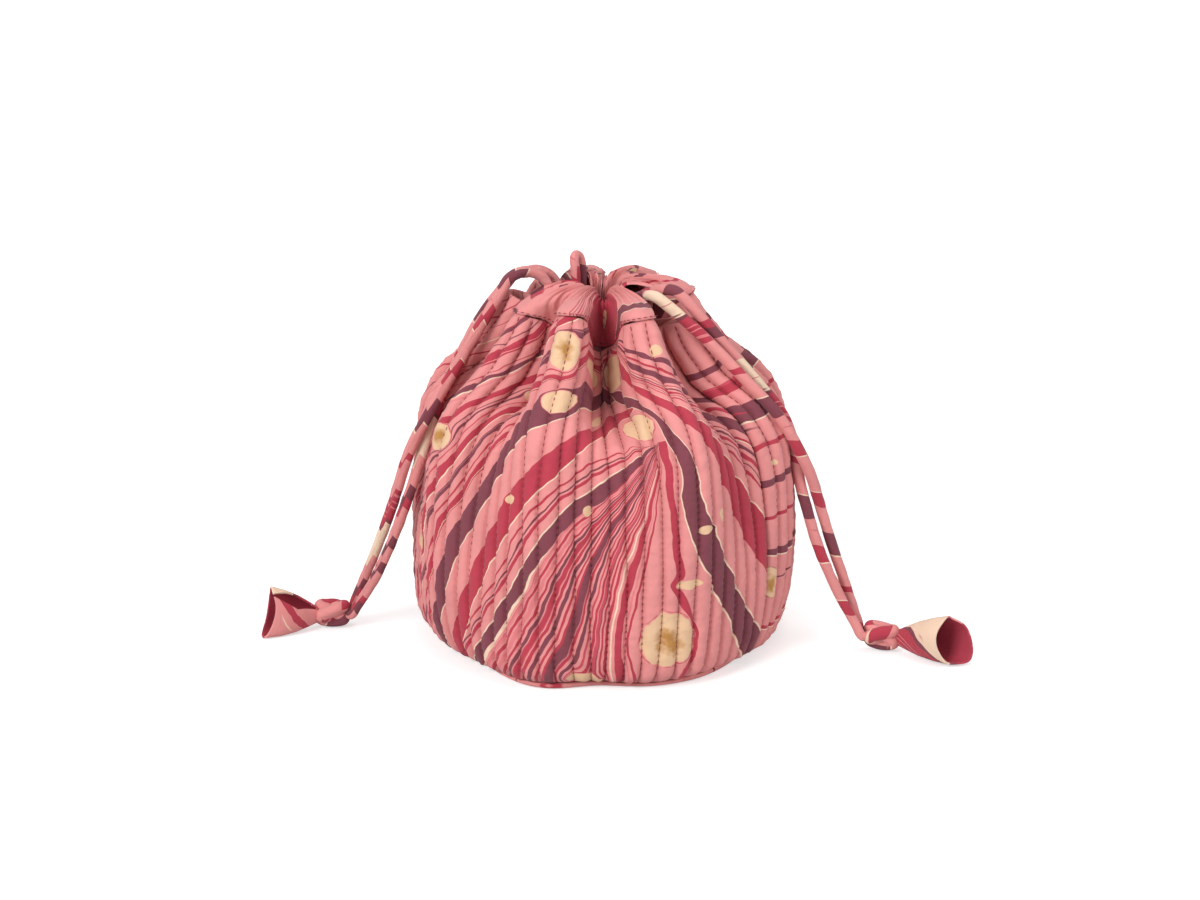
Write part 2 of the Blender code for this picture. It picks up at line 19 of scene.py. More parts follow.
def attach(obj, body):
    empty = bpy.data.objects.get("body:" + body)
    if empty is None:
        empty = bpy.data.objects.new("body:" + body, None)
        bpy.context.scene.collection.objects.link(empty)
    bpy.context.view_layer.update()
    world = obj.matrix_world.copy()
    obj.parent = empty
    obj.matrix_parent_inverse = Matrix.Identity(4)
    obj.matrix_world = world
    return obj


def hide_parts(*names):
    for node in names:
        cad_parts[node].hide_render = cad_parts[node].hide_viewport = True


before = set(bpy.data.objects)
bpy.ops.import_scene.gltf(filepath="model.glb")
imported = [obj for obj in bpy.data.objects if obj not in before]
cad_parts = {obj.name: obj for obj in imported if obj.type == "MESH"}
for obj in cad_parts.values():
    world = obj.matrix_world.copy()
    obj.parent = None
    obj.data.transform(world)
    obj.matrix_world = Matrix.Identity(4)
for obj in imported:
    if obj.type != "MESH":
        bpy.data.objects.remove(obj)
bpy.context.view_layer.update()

MM = 0.001
SEAM_AZ = 58.0                        # right side seam, the left one is opposite
IN_DEGREES = 57.2958
FULL_TURN = 6.28318
UP = np.array([0.0, 0.0, 1.0])
LOG = logging.getLogger("pouch")
Point = Tuple[float, float, float]


# node building

class Sock:
    """An output socket that can be used in sums."""

    def __init__(self, net: "Net", socket: bpy.types.NodeSocket) -> None:
        """Keep the socket and its net."""
        self.net = net
        self.socket = socket

    def __add__(self, other: "Value") -> "Sock":
        """Return the sum."""
        return self.net.math("ADD", self, other)

    def __radd__(self, other: "Value") -> "Sock":
        """Return the sum."""
        return self.net.math("ADD", other, self)

    def __sub__(self, other: "Value") -> "Sock":
        """Return the difference."""
        return self.net.math("SUBTRACT", self, other)

    def __rsub__(self, other: "Value") -> "Sock":
        """Return the difference."""
        return self.net.math("SUBTRACT", other, self)

    def __mul__(self, other: "Value") -> "Sock":
        """Return the product."""
        return self.net.math("MULTIPLY", self, other)

    def __rmul__(self, other: "Value") -> "Sock":
        """Return the product."""
        return self.net.math("MULTIPLY", other, self)

    def __truediv__(self, other: "Value") -> "Sock":
        """Return the quotient."""
        return self.net.math("DIVIDE", self, other)

    def __rtruediv__(self, other: "Value") -> "Sock":
        """Return the quotient."""
        return self.net.math("DIVIDE", other, self)

    def __neg__(self) -> "Sock":
        """Return the value with its sign turned."""
        return self.net.math("MULTIPLY", self, -1.0)

    def fn(self, operation: str, *others: "Value") -> "Sock":
        """Return a math node's result with this socket first."""
        return self.net.math(operation, self, *others)

    def clamp(self) -> "Sock":
        """Return the value kept between 0 and 1."""
        return self.net.out("ShaderNodeClamp", {}, {"Value": self})


Value = Union[Sock, float, int, Sequence[float]]


class Net:
    """Builds a shader or geometry tree."""

    def __init__(self, tree: bpy.types.NodeTree) -> None:
        """Keep the tree."""
        self.tree = tree

    def node(self, kind: str, settings: Optional[Dict] = None,
             values: Optional[Dict] = None) -> bpy.types.Node:
        """Add a node.

        Args:
            kind: the node's type.
            settings: its properties.
            values: values or sockets by input name or number.
        Returns:
            The new node.
        """
        made = self.tree.nodes.new(kind)
        for key, value in (settings or {}).items():
            setattr(made, key, value)
        for key, value in (values or {}).items():
            if isinstance(value, Sock):
                self.tree.links.new(value.socket, made.inputs[key])
            else:
                made.inputs[key].default_value = value
        return made

    def out(self, kind: str, settings: Optional[Dict] = None,
            values: Optional[Dict] = None, port: Union[int, str] = 0) -> Sock:
        """Add a node and return one of its outputs."""
        return Sock(self, self.node(kind, settings, values).outputs[port])

    def math(self, operation: str, *args: Value) -> Sock:
        """Return a math node's result."""
        return self.out("ShaderNodeMath", {"operation": operation},
                        dict(enumerate(args)))

    def vector(self, operation: str, *args: Value, port: int = 0) -> Sock:
        """Return a vector math node's result."""
        return self.out("ShaderNodeVectorMath", {"operation": operation},
                        dict(enumerate(args)), port)

    def combine(self, x: Value, y: Value, z: Value = 0.0) -> Sock:
        """Return a vector of three values."""
        return self.out("ShaderNodeCombineXYZ", {}, {0: x, 1: y, 2: z})

    def split(self, vector: Sock) -> Tuple[Sock, Sock, Sock]:
        """Return the three parts of a vector."""
        made = self.node("ShaderNodeSeparateXYZ", {}, {0: vector})
        return tuple(Sock(self, made.outputs[i]) for i in range(3))

    def mix(self, factor: Value, a: Value, b: Value) -> Sock:
        """Return a mix of two colours."""
        return self.out("ShaderNodeMix", {"data_type": "RGBA"},
                        {0: factor, 6: a, 7: b}, 2)

    def noise(self, at: Sock, scale: float, detail: float = 2.0,
              rough: float = 0.5, port: int = 0) -> Sock:
        """Return a noise value (port 0) or colour (port 1)."""
        return self.out("ShaderNodeTexNoise", {"noise_dimensions": "3D"},
                        {"Vector": at, "Scale": scale, "Detail": detail,
                         "Roughness": rough}, port)

    def ramp(self, factor: Sock, stops: Sequence[Tuple[float, Sequence[float]]],
             crisp: bool = False) -> Sock:
        """Return a colour ramp's colour, with hard borders if crisp."""
        made = self.node("ShaderNodeValToRGB", {}, {0: factor})
        bar = made.color_ramp
        bar.interpolation = "CONSTANT" if crisp else "LINEAR"
        while len(bar.elements) < len(stops):
            bar.elements.new(0.5)
        for element, (place, colour) in zip(bar.elements, stops):
            element.position = place
        for element, (place, colour) in zip(bar.elements, stops):
            element.color = (*colour, 1.0)
        return Sock(self, made.outputs[0])


def add_object(name: str, data: bpy.types.ID) -> bpy.types.Object:
    """Return a new object of some data, linked to the scene."""
    obj = bpy.data.objects.new(name, data)
    bpy.context.collection.objects.link(obj)
    return obj


def new_material(name: str) -> Tuple[bpy.types.Material, Net]:
    """Return a new material with an empty tree, and the tree's net."""
    material = bpy.data.materials.new(name)
    material.use_nodes = True
    material.node_tree.nodes.clear()
    return material, Net(material.node_tree)


def rgb(code: str) -> Tuple[float, float, float]:
    """Return the linear colour of a hex code."""
    parts = [int(code[i:i + 2], 16) / 255.0 for i in (0, 2, 4)]
    return tuple(c / 12.92 if c <= 0.04045 else ((c + 0.055) / 1.055) ** 2.4
                 for c in parts)


# finishes

class Ink(Enum):
    """Colours of the print."""

    PINK = "e08e8c"
    ROSE = "db7a7e"
    CRIMSON = "b6384a"
    RED = "c4495a"
    PLUM = "7e3d49"
    CREAM = "edcfb5"
    STONE = "e2bb96"
    OCHRE = "b98446"

    @property
    def linear(self) -> Tuple[float, float, float]:
        """Return the linear colour."""
        return rgb(self.value)

    @property
    def solid(self) -> Tuple[float, ...]:
        """Return the linear colour with full opacity."""
        return self.linear + (1.0,)


class Bands(Enum):
    """Which flow of bands a piece of cloth was cut from."""

    FEATHER = 1
    LEVEL = 2
    GATHERED = 3
    CORD = 4


@dataclass(frozen=True)
class Stone:
    """One drop of colour in the marbling."""

    u: float
    v: float
    radius: float
    warm: bool = False
    tall: float = 1.0


@dataclass(frozen=True)
class MarbledCloth:
    """Cotton with a marbled print, read from the UV map in metres of cloth."""

    name: str
    bands: Bands
    stones: Tuple[Stone, ...] = ()
    weave: float = 0.16

    LEFT = ((180, Ink.PINK), (216.4, Ink.CREAM), (217, Ink.CRIMSON), (229, Ink.PINK),
            (244.4, Ink.CREAM), (245, Ink.PLUM), (256, Ink.PINK), (264, Ink.CREAM),
            (264.7, Ink.CRIMSON), (268, Ink.PINK), (276, Ink.PLUM), (278, Ink.PINK),
            (284, Ink.CREAM), (284.6, Ink.CRIMSON), (289, Ink.PINK), (297, Ink.PLUM),
            (298.4, Ink.PINK), (304, Ink.CRIMSON), (308, Ink.PINK), (317, Ink.CREAM),
            (317.7, Ink.PLUM), (320, Ink.PINK), (331, Ink.CRIMSON), (334, Ink.PINK),
            (342, Ink.PLUM), (344, Ink.PINK), (352, Ink.CRIMSON), (355, Ink.PINK))
    RIGHT = ((0, Ink.PINK), (1.4, Ink.CREAM), (1.8, Ink.PLUM), (7.2, Ink.CREAM),
             (7.5, Ink.PINK), (17.4, Ink.CRIMSON), (27.0, Ink.CREAM), (27.3, Ink.PINK),
             (31.6, Ink.CRIMSON), (32.4, Ink.PINK), (33.4, Ink.PLUM), (34.0, Ink.PINK),
             (35.0, Ink.CRIMSON), (36.4, Ink.PINK), (37.6, Ink.PLUM), (38.6, Ink.PINK),
             (40.0, Ink.CREAM), (40.4, Ink.CRIMSON), (41.4, Ink.PINK), (44.0, Ink.PLUM),
             (50.0, Ink.PINK), (53.0, Ink.CRIMSON), (55.6, Ink.PINK), (60.5, Ink.PLUM),
             (66.0, Ink.PINK))
    LEVELS = ((0, Ink.PINK), (20, Ink.CREAM), (20.7, Ink.CRIMSON), (23, Ink.PINK),
              (44, Ink.PLUM), (45, Ink.PINK), (54.8, Ink.CREAM), (55.4, Ink.PLUM),
              (59, Ink.PINK), (74, Ink.CRIMSON), (76.4, Ink.PINK), (90.8, Ink.CREAM),
              (91.4, Ink.PLUM), (94.4, Ink.PINK), (108, Ink.CRIMSON), (110, Ink.PINK),
              (121.4, Ink.CREAM), (122, Ink.PLUM), (132, Ink.PINK), (141, Ink.CRIMSON),
              (146, Ink.RED), (147, Ink.PINK), (156, Ink.PLUM), (160, Ink.PINK))

    CORDS = ((0, Ink.PINK), (10, Ink.CREAM), (11, Ink.CRIMSON), (19, Ink.PINK), (34, Ink.PLUM),
             (46, Ink.CREAM), (47, Ink.PINK), (62, Ink.CRIMSON), (66, Ink.PINK),
             (82, Ink.CRIMSON), (85, Ink.ROSE), (85.8, Ink.CRIMSON), (88.6, Ink.ROSE),
             (89.4, Ink.CRIMSON), (92, Ink.ROSE), (92.7, Ink.CRIMSON), (98, Ink.PLUM),
             (100.5, Ink.CREAM), (121, Ink.PINK), (136, Ink.PLUM), (143, Ink.CRIMSON),
             (148, Ink.PINK), (165, Ink.PLUM), (171, Ink.PINK))

    @staticmethod
    def drop_group() -> bpy.types.NodeTree:
        """Return the node group that pushes the print out of a drop's place."""
        found = bpy.data.node_groups.get("ink drop")
        if found:
            return found
        tree = bpy.data.node_groups.new("ink drop", "ShaderNodeTree")
        face = tree.interface
        face.new_socket("Point", in_out="INPUT", socket_type="NodeSocketVector")
        face.new_socket("Centre", in_out="INPUT", socket_type="NodeSocketVector")
        face.new_socket("Shape", in_out="INPUT", socket_type="NodeSocketVector")
        face.new_socket("Point", in_out="OUTPUT", socket_type="NodeSocketVector")
        face.new_socket("Ratio", in_out="OUTPUT", socket_type="NodeSocketFloat")
        net = Net(tree)
        ins = net.node("NodeGroupInput")
        point, centre, shape = (Sock(net, ins.outputs[i]) for i in range(3))
        away = net.vector("SUBTRACT", point, centre)
        near = net.vector("MULTIPLY", away, shape)
        ratio = net.vector("LENGTH", near, port=1).fn("MAXIMUM", 0.001)
        inner = 1.0 - 1.0 / (ratio * ratio)
        pull = inner.fn("MAXIMUM", 0.0).fn("SQRT")
        moved = net.vector("MULTIPLY", away, net.combine(pull, pull, pull))
        net.node("NodeGroupOutput", {}, {0: net.vector("ADD", centre, moved), 1: ratio})
        return tree

    def flow(self, net: Net, at: Sock) -> Sock:
        """Return the print's colour without stones.

        Args:
            net: the shader's net.
            at: place on the cloth in mm.
        """
        u, v, _ = net.split(at)
        if self.bands is Bands.FEATHER:
            return self.feather(net, u, v)
        if self.bands is Bands.LEVEL:
            flow = v + (u / 38.0).fn("SINE") * 7.0 - 4.0
        elif self.bands is Bands.GATHERED:
            flow = u * 0.35 + v * 0.9 + (u / 24.0 + 1.0).fn("SINE") * 5.0
        else:
            flow = u + v * 0.45
        colour = self.table(net, flow.fn("PINGPONG", 176.0),
                            self.CORDS if self.bands is Bands.CORD else self.LEVELS, 0.0, 180.0)
        mask, line = self.lines(net, flow, 8.2, 0.06, 0.10)
        broken = ((net.noise(at, 0.035, 1.0) - 0.63) / 0.04).clamp()
        colour = net.mix(mask * broken, colour, line)
        if self.bands is Bands.GATHERED:
            return self.gathered(net, u, v, colour)
        return colour

    def feather(self, net: Net, u: Sock, v: Sock) -> Sock:
        """Return the front's colour: arched bands, a fan of lines and slanting bands.

        Args:
            net: the shader's net.
            u: place around the pouch in mm of cloth, from the middle of the front.
            v: height along the cloth in mm.
        """
        du, dv = 45.0 - u, v + 80.0
        arch = net.math("SQRT", du * du * 2.65 + dv * dv)
        arch = (arch - 238.0) * (((u + 15.0) / 50.0).clamp() * 0.75 + 1.0) + 238.0
        rise = ((v - 100.0) / 75.0).clamp()
        du, dv = 40.0 - u - rise * rise * (3.0 - rise * 2.0) * 28.0, 181.0 - v
        far = (net.math("SQRT", du * du + dv * dv) - 85.0).fn("MAXIMUM", 0.0)
        ray = net.math("ARCTAN2", du, dv) * IN_DEGREES + far * (far * 0.0008 + 0.10)
        du, dv = 28.0 - u, 128.0 - v
        far = net.math("SQRT", du * du + dv * dv)
        bow = (-((far - 61.0) / 35.0).fn("POWER", 2.0)).fn("EXPONENT") * 0.2
        fan = net.math("ARCTAN2", du, dv)
        centre = bow * 0.8 + 0.68
        side = (fan - centre).fn("SINE") * far
        sheaf = (fan - bow * fan) * IN_DEGREES
        left = self.table(net, arch, self.LEFT, 180.0, 180.0)
        right = self.table(net, 5.0 - ray, self.RIGHT, 0.0, 95.0)
        mask, line = self.lines(net, arch + 2.0, 7.3, 0.05, 0.10)
        left = net.mix(mask * ((arch - 262.0) / 2.0).clamp(), left, line)
        taper = (far / 40.0).clamp()
        for place, half, ink in ((8.2, 0.75, Ink.CRIMSON), (10.2, 0.4, Ink.PLUM),
                                 (13.5, 0.5, Ink.CRIMSON), (0.0, 3.6, Ink.CREAM),
                                 (-0.3, 3.2, Ink.PLUM)):
            near = (side - place * taper).fn("ABSOLUTE").fn("LESS_THAN", half * taper)
            left = net.mix(near * v.fn("LESS_THAN", 124.0), left, ink.solid)
        mask, line = self.lines(net, sheaf, 1.35, 0.30, 0.45)
        inner = net.mix(mask, Ink.PINK.solid, line)
        mask, line = self.lines(net, sheaf + 0.7, 6.6, 0.05, 0.26)
        inner = net.mix(mask, inner, line)
        plain = ((sheaf - 5.5) / 0.3).clamp()
        inner = net.mix(plain, Ink.PINK.solid, inner)
        stem = ((fan + 0.075).fn("SINE") * far).fn("ABSOLUTE").fn("LESS_THAN", 1.6)
        inner = net.mix(stem, inner, Ink.CRIMSON.solid)
        within = side.fn("LESS_THAN", -3.4 * taper) * v.fn("LESS_THAN", 125.0)
        return net.mix(ray.fn("LESS_THAN", 3.6), net.mix(within, left, inner), right)

    def gathered(self, net: Net, u: Sock, v: Sock, colour: Sock) -> Sock:
        """Return the channel's colour, with its stripes and arch at the front.

        Args:
            net: the shader's net.
            u: place around the pouch in mm of cloth, from the middle of the front.
            v: height along the cloth in mm.
            colour: the colour beside the front.
        """
        front = u.fn("ABSOLUTE").fn("LESS_THAN", 96.0)
        colour = net.mix(front, colour, Ink.PINK.solid)
        mask, line = self.lines(net, u, 1.9, 0.12, 0.36)
        striped = (u + 21.0).fn("ABSOLUTE").fn("LESS_THAN", 11.5)
        colour = net.mix(mask * striped, colour, line)
        dyed = (u - 6.0).fn("ABSOLUTE").fn("LESS_THAN", 20.0)
        colour = net.mix(dyed, colour, Ink.CRIMSON.solid)
        bow = v - 196.5 + (u - 42.0) * (u - 42.0) / 46.0
        for half, ink in ((2.9, Ink.CREAM), (2.5, Ink.PLUM)):
            colour = net.mix(bow.fn("ABSOLUTE").fn("LESS_THAN", half) * front, colour,
                             ink.solid)
        return colour

    def table(self, net: Net, flow: Sock, rows: Sequence[Tuple[float, Ink]], start: float,
              span: float) -> Sock:
        """Return the colour of a table of bands at a value.

        Args:
            net: the shader's net.
            flow: the value that the bands follow.
            rows: where each band begins, with its ink.
            start: value at the table's beginning.
            span: how far the table goes.
        """
        return net.ramp(((flow - start) / span).clamp(),
                        [((a - start) / span, ink.linear) for a, ink in rows], crisp=True)

    def lines(self, net: Net, flow: Sock, pitch: float, least: float,
              most: float) -> Tuple[Sock, Sock]:
        """Return the mask and colour of fine lines.

        Args:
            net: the shader's net.
            flow: the value that the lines follow.
            pitch: distance of the lines in that value.
            least: width of the thinnest line as a share of the pitch.
            most: further width of the widest line.
        """
        number = net.math("FLOOR", flow / pitch)
        wide = net.math("FRACT", number * 0.618 + 0.13) * most + least
        edge = (net.math("FRACT", flow / pitch) - 0.5).fn("ABSOLUTE")
        mask = ((wide / 2.0 - edge) / 0.05 + 0.5).clamp()
        pick = net.math("FRACT", number * 0.37)
        colour = net.ramp(pick, [(0.0, Ink.PLUM.linear), (0.24, Ink.CRIMSON.linear),
                                 (0.72, Ink.RED.linear), (0.84, Ink.ROSE.linear),
                                 (0.93, Ink.CREAM.linear)], crisp=True)
        return mask, colour

    def build(self) -> bpy.types.Material:
        """Make the material."""
        material, net = new_material(self.name)
        uv = net.out("ShaderNodeUVMap", {"uv_map": "cloth"})
        cloth = net.vector("SCALE", uv, port=0)
        cloth.socket.node.inputs["Scale"].default_value = 1000.0
        shift = net.vector("SUBTRACT", net.noise(cloth, 0.022, 2.0, 0.45, 1), (0.5, 0.5, 0.5))
        big = net.vector("MULTIPLY", shift, (9.0, 9.0, 0.0))
        shift = net.vector("SUBTRACT", net.noise(cloth, 0.11, 1.0, 0.5, 1), (0.5, 0.5, 0.5))
        small = net.vector("MULTIPLY", shift, (2.0, 3.2, 0.0))
        at = net.vector("ADD", net.vector("ADD", cloth, big), small)
        rings: List[Tuple[Sock, Stone]] = []
        for stone in self.stones:
            group = net.node("ShaderNodeGroup", {"node_tree": self.drop_group()},
                             {"Point": at, "Centre": (stone.u, stone.v, 0.0),
                              "Shape": (1.0 / stone.radius,
                                        1.0 / (stone.radius * stone.tall), 0.0)})
            at = Sock(net, group.outputs[0])
            rings.append((Sock(net, group.outputs[1]), stone))
        colour = self.flow(net, at)
        tint = net.noise(at, 0.03, 2.0, 0.6)
        worn = net.vector("SCALE", colour)
        net.tree.links.new(((tint - 0.5) * 0.30 + 1.0).socket,
                           worn.socket.node.inputs["Scale"])
        # painted shade: near the stitched grooves the colour is darkened towards red by the stored
        # deep value
        deep = net.out("ShaderNodeAttribute", {"attribute_name": "deep"}, {}, "Fac")
        colour = net.mix(deep * 0.42, worn, net.vector("MULTIPLY", worn, (0.62, 0.36, 0.40)))
        vein = net.noise(cloth, 0.16, 2.0, 0.6)
        for ratio, stone in reversed(rings):
            core = ratio + (vein - 0.5) * (1.5 if stone.warm else 0.2)
            ratio = ratio + (vein - 0.5) * 0.22
            if stone.warm:
                stops = ((0.0, Ink.OCHRE), (0.12, Ink.OCHRE), (0.62, Ink.STONE),
                         (1.0, Ink.STONE))
            else:
                stops = ((0.0, Ink.STONE), (1.0, Ink.STONE))
            inside = net.ramp(core.clamp(), [(a, ink.linear) for a, ink in stops])
            if stone.radius > 6.5:
                rim = ((1.07 - ratio) / 0.02).clamp() * (vein * 4.0 - 1.4).clamp()
                colour = net.mix(rim, colour, Ink.CRIMSON.solid)
                colour = net.mix(((1.03 - ratio) / 0.03).clamp(), colour,
                                 Ink.PINK.solid)
            colour = net.mix(((1.0 - ratio) / 0.05).clamp(), colour, inside)
        warp, weft = (net.out("ShaderNodeTexWave",
                              {"wave_type": "BANDS", "bands_direction": way},
                              {"Vector": cloth, "Scale": 1.05, "Distortion": 0.6,
                               "Detail": 1.0, "Detail Scale": 2.0}, "Fac") for way in "XY")
        weave = warp * weft
        crease = net.noise(cloth, 0.30, 3.0, 0.62)
        height = weave * 0.12 + crease
        bump = net.out("ShaderNodeBump", {}, {"Strength": self.weave * 3.0,
                                              "Distance": 0.0012, "Height": height})
        shader = net.out("ShaderNodeBsdfPrincipled", {}, {
            "Base Color": colour, "Roughness": 0.72, "Sheen Weight": 0.12,
            "Sheen Roughness": 0.5, "Specular IOR Level": 0.28, "Normal": bump})
        net.node("ShaderNodeOutputMaterial", {}, {0: shader})
        return material


@dataclass(frozen=True)
class PlainCloth:
    """Dyed cotton in one colour, with a fine weave."""

    name: str
    colour: str
    rough: float = 0.8
    bumps: float = 0.3

    def build(self) -> bpy.types.Material:
        """Make the material."""
        material, net = new_material(self.name)
        place = net.out("ShaderNodeTexCoord", {}, {}, "Object")
        soft = net.noise(place, 90.0, 2.0)
        fine = net.noise(place, 900.0, 2.0)
        colour = net.mix(soft, tuple(c * 0.86 for c in rgb(self.colour)) + (1.0,),
                         rgb(self.colour) + (1.0,))
        bump = net.out("ShaderNodeBump", {}, {"Strength": self.bumps, "Distance": 0.0004,
                                              "Height": fine})
        shader = net.out("ShaderNodeBsdfPrincipled", {}, {
            "Base Color": colour, "Roughness": self.rough,
            "Specular IOR Level": 0.25, "Normal": bump})
        net.node("ShaderNodeOutputMaterial", {}, {0: shader})
        return material


# mesh helpers

def lattice_noise(x: np.ndarray, y: np.ndarray, seed: int) -> np.ndarray:
    """Return smooth noise between -1 and 1 at places on a plane."""
    table = np.random.default_rng(seed).uniform(-1.0, 1.0, (64, 64))
    xi, yi = np.floor(x).astype(int), np.floor(y).astype(int)
    fx, fy = x - xi, y - yi
    fx, fy = fx * fx * (3 - 2 * fx), fy * fy * (3 - 2 * fy)

    def corner(a: int, b: int) -> np.ndarray:
        """Return the table's value at a corner of the cell."""
        return table[(xi + a) % 64, (yi + b) % 64]
    low = corner(0, 0) * (1 - fx) + corner(1, 0) * fx
    high = corner(0, 1) * (1 - fx) + corner(1, 1) * fx
    return low * (1 - fy) + high * fy


def unit(vectors: np.ndarray) -> np.ndarray:
    """Return vectors scaled to length 1."""
    return vectors / np.maximum(np.linalg.norm(vectors, axis=-1, keepdims=True), 1e-9)


def beside(axis: np.ndarray) -> Tuple[np.ndarray, np.ndarray]:
    """Return the level direction beside an axis and the direction above it."""
    side = unit(np.cross(axis, UP))
    return side, np.cross(side, axis)


def catmull(points: np.ndarray, count: int, closed: bool = False) -> np.ndarray:
    """Return even samples of a smooth curve through points.

    Args:
        points: array of shape (n, ..., 3), the curve runs along the first axis.
        count: number of samples.
        closed: whether the curve returns to its first point.
    """
    n = len(points)
    spans = n if closed else n - 1
    t = np.linspace(0.0, spans, count, endpoint=not closed)
    i = np.minimum(np.floor(t).astype(int), spans - 1)
    f = (t - i).reshape((-1,) + (1,) * (points.ndim - 1))
    if closed:
        p0, p1, p2, p3 = (points[(i + k) % n] for k in (-1, 0, 1, 2))
    else:
        p0 = points[np.maximum(i - 1, 0)]
        p1, p2 = points[i], points[i + 1]
        p3 = points[np.minimum(i + 2, n - 1)]
    return 0.5 * (2 * p1 + (p2 - p0) * f + (2 * p0 - 5 * p1 + 4 * p2 - p3) * f ** 2
                  + (3 * p1 - p0 - 3 * p2 + p3) * f ** 3)


def evenly(path: np.ndarray, step: float) -> np.ndarray:
    """Return points at even distances of about step along a polyline."""
    along = np.concatenate([[0.0], np.cumsum(np.linalg.norm(np.diff(path, axis=0), axis=1))])
    marks = np.linspace(0.0, along[-1], max(2, int(round(along[-1] / step)) + 1))
    return np.stack([np.interp(marks, along, path[:, c]) for c in range(3)], axis=1)


class Shell:
    """Collects vertices, faces and cloth coordinates of one piece."""

    def __init__(self, name: str) -> None:
        """Start an empty piece."""
        self.name = name
        self.points: List[np.ndarray] = []
        self.cloth: List[np.ndarray] = []
        self.faces: List[np.ndarray] = []
        self.marks: Dict[str, List[Tuple[int, np.ndarray]]] = {}
        self.caps: List[Tuple[np.ndarray, bool]] = []
        self.count = 0

    def sheet(self, points: np.ndarray, cloth: np.ndarray, flip: bool = False,
              wrap: bool = False, cap: bool = False, **marks: np.ndarray) -> np.ndarray:
        """Add a grid of points and return its vertex numbers.

        Args:
            points: array (rows, columns, 3) in mm.
            cloth: array (rows, columns, 2) in mm of cloth.
            flip: whether the faces look the other way.
            wrap: whether the last column joins the first.
            cap: whether the first and last row are closed by a face.
            marks: further values per point.
        """
        rows, cols = points.shape[:2]
        ids = np.arange(rows * cols).reshape(rows, cols) + self.count
        self.points.append(points.reshape(-1, 3))
        self.cloth.append(cloth.reshape(-1, 2))
        self.count += rows * cols
        for key, value in marks.items():
            self.marks.setdefault(key, []).append((self.count - rows * cols, value))
        right = np.roll(ids, -1, axis=1) if wrap else ids[:, 1:]
        left = ids if wrap else ids[:, :-1]
        quads = np.stack([left[:-1], right[:-1], right[1:], left[1:]], axis=-1).reshape(-1, 4)
        self.faces.append(quads[:, ::-1] if flip else quads)
        if cap:
            self.caps += [(ids[0], not flip), (ids[-1], flip)]
        return ids

    def zip(self, a: np.ndarray, b: np.ndarray, flip: bool = False) -> None:
        """Join two lines of vertices of different length by triangles."""
        i = j = 0
        tris = []
        while i < len(a) - 1 or j < len(b) - 1:
            ta = (i + 1) / (len(a) - 1) if i < len(a) - 1 else 9.0
            tb = (j + 1) / (len(b) - 1) if j < len(b) - 1 else 9.0
            if ta <= tb:
                tris.append((a[i], a[i + 1], b[j]))
                i += 1
            else:
                tris.append((a[i], b[j + 1], b[j]))
                j += 1
        made = np.array(tris)
        self.faces.append(made[:, ::-1] if flip else made)

    def build(self, material: bpy.types.Material) -> bpy.types.Object:
        """Make the object in metres, with its cloth map and marks."""
        verts = np.concatenate(self.points) * MM
        faces = [tuple(int(i) for i in f) for block in self.faces for f in block]
        for ring, flip in self.caps:
            faces.append(tuple(int(i) for i in (ring[::-1] if flip else ring)))
        mesh = bpy.data.meshes.new(self.name)
        mesh.from_pydata(verts.tolist(), [], faces)
        mesh.update()
        flat = np.concatenate(self.cloth) * MM
        layer = mesh.uv_layers.new(name="cloth")
        corners = np.empty(len(mesh.loops), dtype=np.int32)
        mesh.loops.foreach_get("vertex_index", corners)
        layer.data.foreach_set("uv", flat[corners].astype(np.float32).ravel())
        for key, parts in self.marks.items():
            wide = parts[0][1].ndim == 3
            data = np.zeros((self.count, 3) if wide else self.count, dtype=np.float32)
            for start, value in parts:
                flatv = value.reshape(-1, 3) if wide else value.reshape(-1)
                data[start:start + len(flatv)] = flatv
            attr = mesh.attributes.new(key, "FLOAT_VECTOR" if wide else "FLOAT", "POINT")
            attr.data.foreach_set("vector" if wide else "value", data.ravel())
        mesh.polygons.foreach_set("use_smooth", [True] * len(mesh.polygons))
        mesh.materials.append(material)
        return add_object(self.name, mesh)


def tube(name: str, path: np.ndarray, radius: np.ndarray, material: bpy.types.Material,
         sides: int = 18, start: float = 0.0, lumps: float = 0.05,
         seed: int = 1) -> bpy.types.Object:
    """Make a soft round cord along a path in mm.

    Args:
        name: the object's name.
        path: array (n, 3) in mm.
        radius: array (n) in mm.
        material: its finish.
        sides: corners around.
        start: place on the cloth where the cord begins.
        lumps: how uneven the cord is.
        seed: start of its noise.
    """
    tangent = unit(np.gradient(path, axis=0))
    up = np.array([0.0, 0.0, 1.0])
    frames = []
    for t in tangent:
        up = up - t * up.dot(t)
        if np.linalg.norm(up) < 0.05:
            up = np.array([1.0, 0.0, 0.0]) - t * t[0]
        up = up / np.linalg.norm(up)
        frames.append((up.copy(), np.cross(t, up)))
    side = np.array([f[0] for f in frames])[:, None, :]
    other = np.array([f[1] for f in frames])[:, None, :]
    length = np.concatenate([[0.0], np.cumsum(np.linalg.norm(np.diff(path, axis=0), axis=1))])
    turn = np.linspace(0.0, 2 * math.pi, sides, endpoint=False)[None, :]
    along = length[:, None] * np.ones_like(turn)
    uneven = 1.0 + lumps * lattice_noise(along / 4.5 + turn * 0.8, turn / 1.3 + 9.0, seed)
    uneven += lumps * 0.6 * np.sin(turn + along / 9.0)
    r = radius[:, None] * uneven
    pts = (path[:, None, :] + side * (np.cos(turn) * r)[..., None]
           + other * (np.sin(turn) * r)[..., None])
    cloth = np.stack([along + start, turn * radius.mean() * np.ones_like(along)], axis=-1)
    shell = Shell(name)
    shell.sheet(pts, cloth, wrap=True, cap=True, flip=True)
    return shell.build(material)


